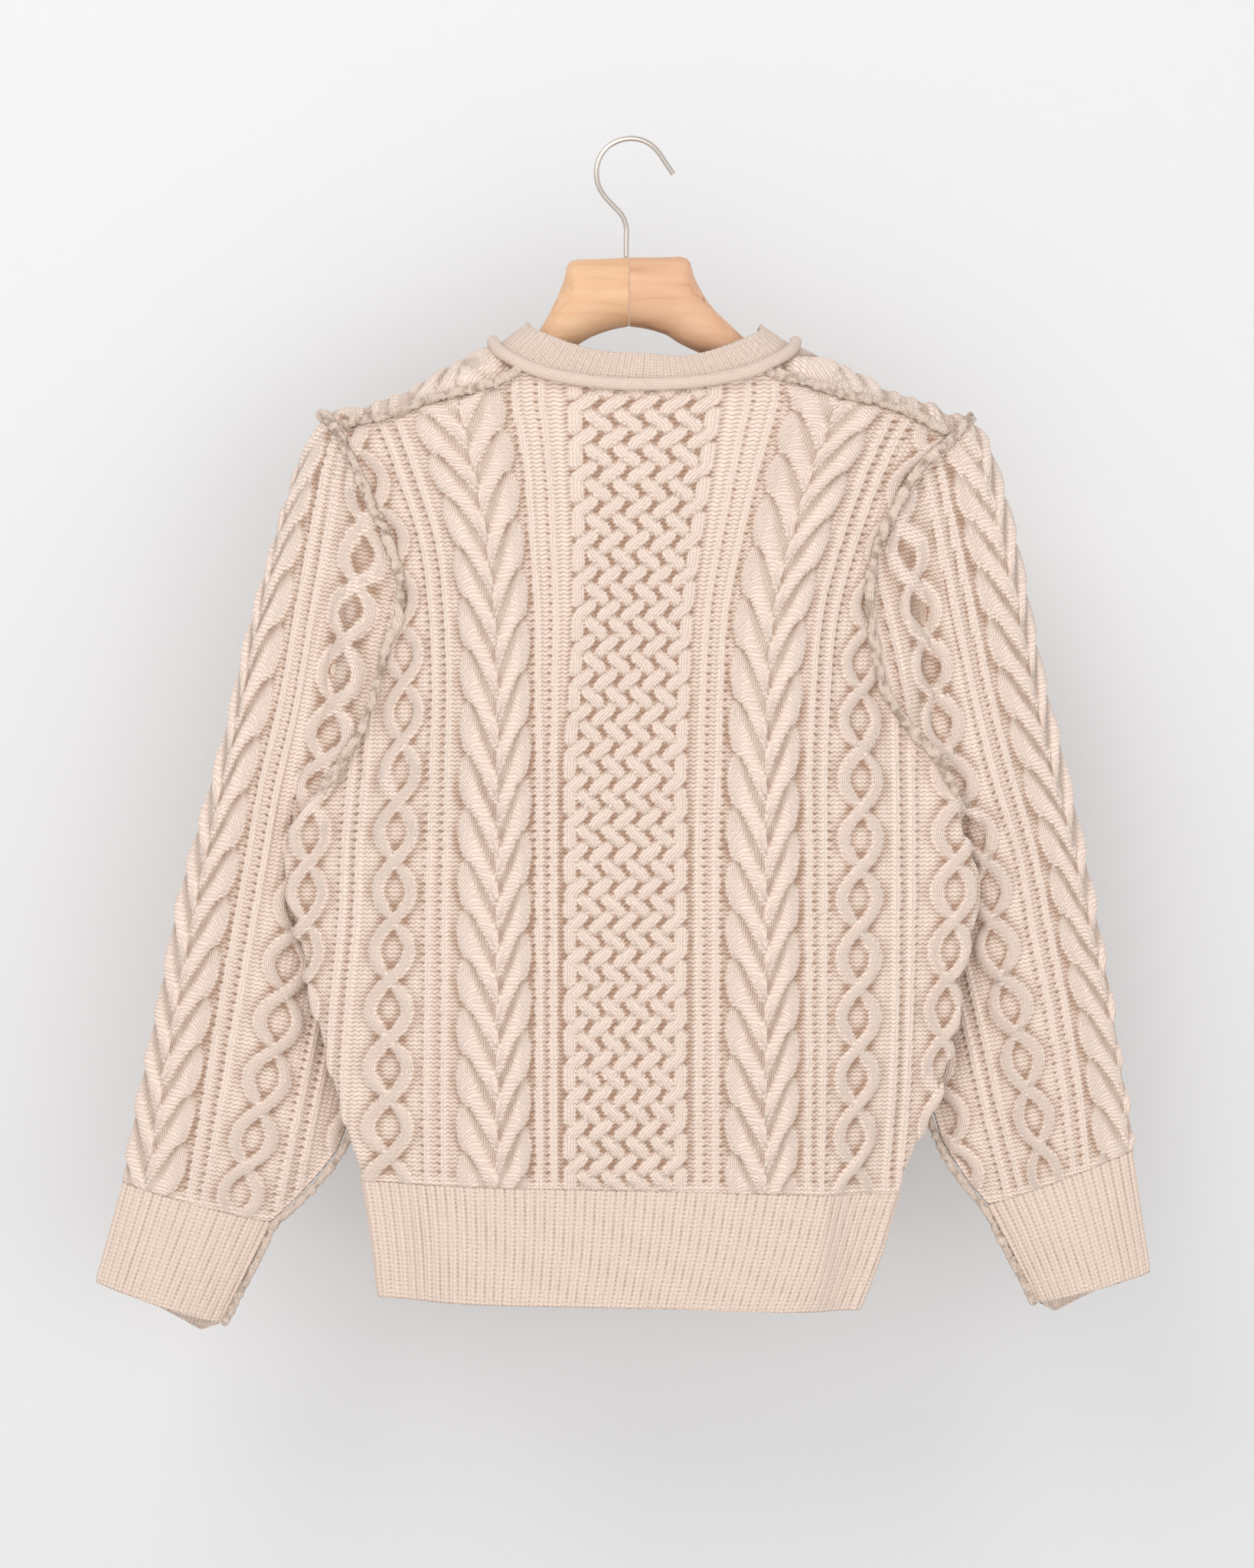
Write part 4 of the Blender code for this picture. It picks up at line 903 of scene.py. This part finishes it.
# ---- Cuffs --------------------------------------------------------------------------------------
# Short tubes of the same rib as the hem, knitted on to the sleeves and left open at the hand.
CUFFS = {"left": [(-325, -682, -240, -708, 0.0), (-334, -714, -257, -741, 0.0)],
         "right": [(320, -668, 241, -697, 0.0), (326, -708, 257, -728, 0.0)]}
CUFF_DEPTH = (-2, 1, 12, 11)
CUFF_TABLES = {side: SLEEVE_TABLES[side][-1:] + rings_table(CUFFS[side], [CUFF_DEPTH] * 2)
               for side in CUFFS}
# how far the far half of the cuff hangs below the near half, from the outer fold to the seam
CUFF_DROP = [(0.0, 0.0), (0.3, 2.0), (0.6, 6.0), (0.85, 9.0), (1.0, 0.0)]
around = 13 * RIB_STEP
at = np.linspace(0, 2, 8 * RIB_STEP + 1)
for side, table in CUFF_TABLES.items():
    points, share = sleeve_surface(side, table, at, around, crease=False)
    drop = line(CUFF_DROP, share[-2:0:-1])
    points[:, around + 1:, 2] -= drop[None, :] * (at / 2)[:, None]
    normals = grid_normals(points, ring_away(points), wrap=True)
    knit = ribs(points, 5.8)
    thin_lip(knit)
    cuff = shell("cuff_ribbing_" + side, points, normals, knit, RIB_STEP, wrap=True)
    settle(cuff, rib_wool, "cuff_" + side)

# ---- Neckband -----------------------------------------------------------------------------------
# Narrow band of fine rib that stands up from a rolled linking edge and leans in around the
# head of the hanger.
NECK_X = 9.5         # middle of the neckband
# a quarter of the band: foot x z, then top x y z (left side)
NECK_BACK = [(-83, -129, -63, 0, -114), (-81.5, -132, -62.5, -12, -116.5),
             (-78, -137, -60, -19, -119.5), (-71, -142, -53, -24, -123.5),
             (-62, -146.5, -43, -27, -128), (-38, -153.5, -22, -29, -134.5),
             (8, -158, 9.5, -30, -137)]
NECK_FRONT = [(-83, -129, -63, 0, -114), (-82.5, -133, -62.5, 12, -118),
              (-81, -141, -60, 18, -127), (-76, -153, -54, 22, -139),
              (-58, -170, -42, 24, -153), (-24, -190, -21, 25, -168),
              (9.5, -196, 9.5, 26, -174)]
foot, top = [], []
quarters = ((NECK_BACK[::-1], -1, False), (NECK_FRONT[1:], 1, False),
            (NECK_FRONT[-2::-1], 1, True), (NECK_BACK[1:-1], -1, True))
for table, towards, mirror in quarters:
    for bx, bz, tx, ty, tz in table:
        if mirror:
            bx, tx = 2 * NECK_X - bx, 2 * NECK_X - tx
            tz -= 3 if towards < 0 else 1
        depth = half_depth(bx, bz) * (FRONT_SHARE if towards > 0 else 1.0)
        foot.append((bx, towards * float(depth), bz))
        top.append((tx, ty, tz))


def overlapped(points):
    """A closed loop's points with a few repeated at both ends, so that it can be smoothed."""
    return np.concatenate([points[-3:], points, points[:4]])


def round_loop(points, count):
    """Smooth closed loop through points, and the stations it was cut at."""
    pad = overlapped(points)
    step = polyline(pad)
    at = step[3] + (step[3 + len(points)] - step[3]) * np.arange(count) / count
    return np.stack([smooth(step, pad[:, k], at) for k in range(3)], axis=1), at, step


foot, top = np.array(foot), np.array(top)
lower, at, step = round_loop(foot, 72 * RIB_STEP)
pad = overlapped(top)
upper = np.stack([smooth(step, pad[:, k], at) for k in range(3)], axis=1)
rise = (upper - lower) / np.linalg.norm(upper - lower, axis=1)[:, None]
stand = np.linspace(0, 1, 4 * RIB_STEP + 1)[:, None, None]
points = (lower + rise * 1.2)[None] * (1 - stand) + upper[None] * stand
away = np.stack([points[..., 0] - NECK_X, points[..., 1] * 2, np.full(points.shape[:2], 10.0)],
                axis=-1)
normals = grid_normals(points, away, wrap=True)
knit = ribs(points[::-1], 4.1, crest=0.9, rows_scale=0.75)
for key in ("height", "across", "rows", "kind"):
    setattr(knit, key, getattr(knit, key)[::-1])
knit.ground = (knit.across, knit.rows)
knit.height = np.clip(knit.height, -0.4, 0.45)
band = shell("neckband_ribbing", points, normals, knit, RIB_STEP, wrap=True)
settle(band, rib_wool, "neckband")

# ---- Rolled linking edge ------------------------------------------------------------------------
# The foot of the neckband rolls outward into a smooth round cord of stocking stitch that covers
# the cut edge of the panels.


def rope(name, path, lift, radius, sides, count, closed=False, flat=1.0, air=0.3, lump=0.0,
         seed=1):
    """Round knitted cord lying on a path, with uneven lumps where it is a raw edge."""
    path, lift = np.asarray(path, dtype=float), np.asarray(lift, dtype=float)
    lift = lift / np.linalg.norm(lift, axis=1)[:, None]
    if closed:
        pad, pad_lift = overlapped(path), overlapped(lift)
        step = polyline(pad)
        at = step[3] + (step[3 + len(path)] - step[3]) * np.arange(count) / count
    else:
        pad, pad_lift, step = path, lift, polyline(path)
        at = np.linspace(0, step[-1], count)
    path = np.stack([smooth(step, pad[:, k], at) for k in range(3)], axis=1)
    lift = np.stack([np.interp(at, step, pad_lift[:, k]) for k in range(3)], axis=1)
    if closed:
        run = np.roll(path, -1, axis=0) - np.roll(path, 1, axis=0)
    else:
        run = np.gradient(path, axis=0)
    run /= np.linalg.norm(run, axis=1)[:, None]
    lift -= run * np.sum(run * lift, axis=1)[:, None]
    lift /= np.linalg.norm(lift, axis=1)[:, None]
    wide = np.cross(run, lift)
    turns = np.linspace(0, 2 * math.pi, sides, endpoint=False)
    noise = np.random.default_rng(seed)
    bumps = soften(noise.normal(size=(count, sides)), 1, True)
    bumps = np.clip(bumps / (1.7 * bumps.std()), -1, 1)
    knots = np.arange(0, count + 12, 6)
    sway = np.interp(np.arange(count), knots, noise.normal(size=len(knots)))
    r = radius * (1 + lump * (bumps + 0.35 * np.clip(sway, -1, 1)[:, None]))
    if not closed:
        r *= (0.55 + 0.45 * np.sqrt(np.clip(from_ends(count) / 3.0, 0, 1)))[:, None]
    middle = path + lift * (radius * flat + air)
    verts = (middle[:, None] + wide[:, None] * (r * np.cos(turns))[..., None]
             + lift[:, None] * (r * flat * np.sin(turns))[..., None])
    faces = []
    for a in range(count if closed else count - 1):
        b = (a + 1) % count
        for j in range(sides):
            i = (j + 1) % sides
            faces.append((a * sides + j, a * sides + i, b * sides + i, b * sides + j))
    if not closed:
        faces.append(tuple(range(sides - 1, -1, -1)))
        faces.append(tuple((count - 1) * sides + j for j in range(sides)))
    mesh = bpy.data.meshes.new(name)
    mesh.from_pydata((verts.reshape(-1, 3) * MM).tolist(), [], faces)
    mesh.update()
    centre = middle[count // 2] * MM
    middle_face = mesh.polygons[(count // 2) * sides]
    if np.dot(np.array(middle_face.normal), np.array(middle_face.center) - centre) < 0:
        mesh.flip_normals()
    wales = max(3, round(2 * math.pi * radius / 2.6))
    wales_at = wales / 2 - np.abs(turns / (2 * math.pi) - 0.5) * wales
    around = np.tile(wales_at, (count, 1))
    rows = np.tile((at / ROW)[:, None], (1, sides))
    # Painted shade: the cord is darkened in the dips between its lumps, through the same field
    # that darkens the hollows of the panels
    for key, field in (("across", around), ("rows", rows), ("kind", np.full(rows.shape, 1.0)),
                       ("hollow_shade", np.clip(-bumps * lump * 2.5, -1, 1))):
        keep_field(mesh, key, "POINT", field)
    return place_piece(name, mesh)


base, _, _ = round_loop(foot, 72)
base = np.roll(base, 36, axis=0)
tilt = np.stack([base[:, 0] - NECK_X, base[:, 1] * 2.2, np.zeros(len(base))], axis=1)
tilt /= np.linalg.norm(tilt, axis=1)[:, None]
tilt[:, 2] = 1.3 * (1 - np.clip(np.abs(base[:, 1]) / 34.0, 0, 1)) ** 0.7 + 0.15
roll = rope("neck_rolled_edge", base, tilt, 3.9, 20, 300, closed=True, flat=0.85, air=0.7,
            lump=0.03, seed=4)
settle(roll, wool("roll_wool", RIB_WOOL, 0.7), "neck_roll")

# ---- Raw seams ----------------------------------------------------------------------------------
# The garment is sewn with its seam allowances on the show side: lumpy ridges of cut wool along the
# shoulders, round the armholes, up the sides of the hem and under the arms, their yarn slightly
# darker than the panels' and painted shade darkening the dips between the lumps.
seam_wool = wool("seam_wool", (0.93, 0.75, 0.62), 1.0, (0.60, 0.42, 0.31))
for n, side in enumerate(("left", "right")):
    stations = np.linspace(0.03, 0.97, 24)
    path = flap_surface(side, stations, 0.0)
    up = flap_surface(side, stations, 0.06) - path
    lift = np.cross(np.gradient(path, axis=0), up)
    lift *= np.where(lift[:, 1] > 0, -1.0, 1.0)[:, None]
    shoulder = rope("shoulder_raw_seam_" + side, path, lift, 3.0, 12, 130, lump=0.3, seed=10 + n)

    rings, _ = sleeve_surface(side, SLEEVE_TABLES[side], np.linspace(0, 12, 97), 26)
    out = grid_normals(rings, ring_away(rings), wrap=True)
    # from the underarm up the front, over the shoulder, then down the back
    order = [52 - k for k in range(23, 0, -1)] + list(range(0, 26))
    arm = rope("armhole_raw_seam_" + side, rings[0][order], out[0][order], 3.0, 12, 420,
               lump=0.38, seed=20 + n)

    path = back_surface(float(n), np.linspace(17.3, 20.9, 14))
    lift = np.tile([0.0, 1.0, 0.0], (len(path), 1))
    side_seam = rope("side_raw_seam_" + side, path, lift, 2.1, 10, 90, flat=0.8, lump=0.25,
                     seed=30 + n)

    lower_rings, _ = sleeve_surface(side, CUFF_TABLES[side], np.linspace(0, 2, 9), 26,
                                    crease=False)
    cuff_out = grid_normals(lower_rings, ring_away(lower_rings), wrap=True)
    path = np.concatenate([rings[24::4, 26], lower_rings[2::2, 26]])
    lift = np.concatenate([out[24::4, 26], cuff_out[2::2, 26]])
    under = rope("sleeve_raw_seam_" + side, path, lift, 2.4, 12, 300, air=0.5, lump=0.28,
                 seed=40 + n)
    for piece, node in ((shoulder, "shoulder_seam_"), (arm, "armhole_seam_"),
                        (side_seam, "side_seam_"), (under, "sleeve_seam_")):
        settle(piece, seam_wool, node + side)

# ---- Hanger -------------------------------------------------------------------------------------
# Two solid arms of pale lacquered beech, mitred and glued at the middle, with a wire hook
# screwed into the joint.


def wood(name, sign, light, dark, streak):
    """Straight-grained beech; the grain climbs towards the mitre on each arm."""
    mat, nodes, links, shader = new_finish(name)
    coords = nodes.new("ShaderNodeTexCoord")
    turn = nodes.new("ShaderNodeMapping")
    turn.inputs["Rotation"].default_value = (0, sign * math.radians(-27), 0)
    turn.inputs["Scale"].default_value = (6.0, 60.0, 60.0)
    links.new(coords.outputs["Object"], turn.inputs["Vector"])
    grain = cloud(nodes, links, turn.outputs["Vector"], 2.2, 8.0, 0.6)
    fine = nodes.new("ShaderNodeTexNoise")
    fine.inputs["Scale"].default_value = 22.0
    fine.inputs["Detail"].default_value = 4.0
    links.new(turn.outputs["Vector"], fine.inputs["Vector"])
    ramp = nodes.new("ShaderNodeValToRGB")
    ramp.color_ramp.elements[0].position = 0.30
    ramp.color_ramp.elements[0].color = (*streak, 1.0)
    ramp.color_ramp.elements[1].position = 0.62
    ramp.color_ramp.elements[1].color = (*light, 1.0)
    middle = ramp.color_ramp.elements.new(0.42)
    middle.color = (*dark, 1.0)
    links.new(grain, ramp.inputs["Fac"])
    mix = nodes.new("ShaderNodeMix")
    mix.data_type = "RGBA"
    mix.blend_type = "MULTIPLY"
    mix.inputs["Factor"].default_value = 0.16
    links.new(ramp.outputs["Color"], mix.inputs["A"])
    links.new(fine.outputs["Color"], mix.inputs["B"])
    links.new(mix.outputs["Result"], shader.inputs["Base Color"])
    raise_surface(nodes, links, shader, fine.outputs["Fac"], 0.15, 0.0003)
    shader.inputs["Roughness"].default_value = 0.42
    return mat


# upper edge x z, lower edge x z, half thickness, from the mitre to the tip
ARM_LEFT = [
    (0, -73, 0, -116, 15), (20, -74, 12, -118.5, 15), (37, -75.5, 23, -122.5, 15),
    (41, -88, 30, -126.5, 14), (48, -104, 38, -131.5, 12.5), (57, -119.5, 50, -142, 11),
    (70, -131, 65, -153, 10), (90, -139.5, 86, -161, 10), (112, -149.5, 107, -172, 10),
    (136, -162, 131, -183.5, 9.5), (158, -169.5, 154, -189, 9), (172, -176, 168, -192, 6.5)]
ARM_RIGHT = [
    (0, -73, 0, -116, 15), (20, -73, 12, -118, 15), (36, -73.5, 23, -121.5, 15),
    (41, -86, 30, -126, 14), (50, -102, 40, -131, 12.5), (62, -114, 54, -137, 11),
    (76, -126, 70, -147, 10), (98, -134, 93, -156, 10), (122, -144, 118, -166, 10),
    (146, -154.5, 142, -176, 9.5), (164, -161.5, 160, -182, 9), (178, -168, 174, -185, 6.5)]
ARM_STATIONS = 34
for side, sign, table, colours in (
        ("left", -1, ARM_LEFT, ((0.86, 0.53, 0.31), (0.80, 0.46, 0.25), (0.72, 0.38, 0.20))),
        ("right", 1, ARM_RIGHT, ((0.82, 0.48, 0.29), (0.76, 0.42, 0.24), (0.58, 0.27, 0.14)))):
    at = np.linspace(0, len(table) - 1, ARM_STATIONS)
    ux, uz, lx, lz, thick = (column(table, k, at) for k in range(5))
    centre = np.stack([(ux + lx) / 2 + 0.15, np.zeros(len(at)), (uz + lz) / 2], axis=1)
    centre[:, 0] *= sign
    tall = np.hypot(ux - lx, uz - lz) / 2
    lean = np.arctan2(sign * (ux - lx), uz - lz)
    bpy.ops.object.select_all(action="DESELECT")
    bpy.ops.mesh.primitive_circle_add(vertices=40, radius=1.0, fill_type="NGON",
                                      location=Vector(centre[0] * MM))
    arm = bpy.context.object
    arm.name = "hanger_beech_" + side
    bpy.ops.object.transform_apply(location=True, rotation=True, scale=True)
    bpy.ops.object.mode_set(mode="EDIT")
    bpy.ops.mesh.select_all(action="SELECT")
    middle = Vector(centre[0] * MM)
    bpy.ops.transform.rotate(value=math.radians(90), orient_axis="Y", center_override=middle)
    bpy.ops.transform.resize(value=(1, thick[0] * MM, tall[0] * MM), center_override=middle)
    for k in range(1, len(at)):
        step = Vector((centre[k] - centre[k - 1]) * MM)
        bpy.ops.mesh.extrude_region_move(TRANSFORM_OT_translate={"value": step})
        middle = Vector(centre[k] * MM)
        bpy.ops.transform.rotate(value=lean[k - 1] - lean[k], orient_axis="Y",
                                 center_override=middle)
        grow = tall[k] / tall[k - 1]
        bpy.ops.transform.resize(value=(1, thick[k] / thick[k - 1], 1), center_override=middle)
        bpy.ops.transform.resize(value=(grow, 1, grow), center_override=middle)
    bpy.ops.mesh.select_all(action="SELECT")
    bpy.ops.mesh.normals_make_consistent(inside=False)
    bpy.ops.object.mode_set(mode="OBJECT")
    bpy.ops.object.shade_smooth()
    edge = arm.modifiers.new("edge", "BEVEL")
    edge.width = 0.0006
    edge.segments = 2
    edge.limit_method = "ANGLE"
    edge.angle_limit = math.radians(50)
    bpy.ops.object.modifier_apply(modifier="edge")
    settle(arm, wood("beech_" + side, sign, *colours), "hanger_arm_" + side)

# ---- Hook ---------------------------------------------------------------------------------------
# Round champagne-plated steel wire, bent to a hook and screwed into the joint of the arms.
# x and z of its middle line
HOOK = [(-1.9, -72.6), (-1.9, -62), (-2.0, -53), (-4.0, -47.4), (-9.5, -41), (-15.5, -34.5),
        (-19.4, -27.5), (-20.6, -20), (-19.0, -11.5), (-14.2, -4.2), (-7.5, 0.0), (0.0, 1.7),
        (7.6, 0.8), (14.0, -2.6), (19.0, -7.8), (22.8, -13.6), (27.6, -20.6)]
run = polyline(np.array(HOOK, dtype=float))
at = np.linspace(0, run[-1], 72)
curve = bpy.data.curves.new("hanger_wire", "CURVE")
curve.dimensions = "3D"
curve.bevel_depth = 1.7 * MM
curve.bevel_resolution = 6
curve.use_fill_caps = True
spline = curve.splines.new("POLY")
spline.points.add(len(at) - 1)
for point, x, z in zip(spline.points, smooth(run, [p[0] for p in HOOK], at),
                       smooth(run, [p[1] for p in HOOK], at)):
    point.co = (x * MM, 0.0, z * MM, 1.0)
wire = bpy.data.objects.new("hanger_wire", curve)
bpy.context.scene.collection.objects.link(wire)
bpy.ops.object.select_all(action="DESELECT")
wire.select_set(True)
bpy.context.view_layer.objects.active = wire
bpy.ops.object.convert(target="MESH")
wire = bpy.context.object
steel, nodes, links, shader = new_finish("champagne_steel")
brush = cloud(nodes, links, nodes.new("ShaderNodeTexCoord").outputs["Object"], 900.0)
gloss = nodes.new("ShaderNodeMapRange")
gloss.inputs["To Min"].default_value = 0.22
gloss.inputs["To Max"].default_value = 0.36
links.new(brush, gloss.inputs["Value"])
links.new(gloss.outputs["Result"], shader.inputs["Roughness"])
shader.inputs["Base Color"].default_value = (0.66, 0.60, 0.53, 1.0)
shader.inputs["Metallic"].default_value = 1.0
settle(wire, steel, "hanger_hook")

# ---- Wall, floor and light --------------------------------------------------------------------
# Plain white wall a hand's length behind the garment, a pale floor below and out of view, and
# three large soft lamps: high on the left, low on the right, and low in the middle.
WALL_Y = 0.22        # metres behind the hook
wall_mat, nodes, links, paint = new_finish("wall_paint")
paint.inputs["Base Color"].default_value = (0.80, 0.795, 0.79, 1.0)
paint.inputs["Roughness"].default_value = 0.9
paint.inputs["Specular IOR Level"].default_value = 0.1
clear = nodes.new("ShaderNodeBsdfTransparent")
side_of = nodes.new("ShaderNodeNewGeometry")
pick = nodes.new("ShaderNodeMixShader")
links.new(side_of.outputs["Backfacing"], pick.inputs["Fac"])
links.new(paint.outputs["BSDF"], pick.inputs[1])
links.new(clear.outputs["BSDF"], pick.inputs[2])
links.new(pick.outputs["Shader"], nodes["Material Output"].inputs["Surface"])

bpy.ops.mesh.primitive_plane_add(size=6.0, location=(0, 0, 0))
backdrop = bpy.context.object
backdrop.name = "wall"
bpy.ops.transform.rotate(value=math.radians(-90), orient_axis="X")
bpy.ops.transform.translate(value=(0, WALL_Y, 0.4))
bpy.ops.object.transform_apply(location=True, rotation=True, scale=True)
if backdrop.data.polygons[0].normal.y > 0:
    backdrop.data.flip_normals()
backdrop.data.materials.append(wall_mat)

bpy.ops.mesh.primitive_plane_add(size=6.0, location=(0, 0, -1.05))
floor = bpy.context.object
floor.name = "floor"
bpy.ops.object.transform_apply(location=True, rotation=True, scale=True)
floor.data.materials.append(wall_mat)

CHEST = Vector((0, 0, -0.42))   # what the lamps are turned to
# name, place, size, power, colour
LAMPS = [
    ("key", (-0.9, -2.0, 1.1), 1.3, 19, (1.0, 0.99, 0.975)),
    ("fill", (1.3, -2.5, -0.7), 2.2, 15.5, (0.98, 0.99, 1.0)),
    ("low", (0.1, -1.9, -0.85), 1.5, 12, (1.0, 0.99, 0.98))]
for name, place, size, power, colour in LAMPS:
    bpy.ops.object.light_add(type="AREA", location=place)
    lamp = bpy.context.object
    lamp.name = name
    lamp.data.size = size
    lamp.data.energy = power
    lamp.data.color = colour
    lamp.rotation_euler = (CHEST - Vector(place)).to_track_quat("-Z", "Y").to_euler()
world = bpy.data.worlds.new("studio")
world.use_nodes = True
daylight = world.node_tree.nodes["Background"].inputs
daylight["Color"].default_value = (0.95, 0.97, 1.0, 1.0)
daylight["Strength"].default_value = 0.74
bpy.context.scene.world = world
bpy.context.scene.view_settings.view_transform = "Standard"
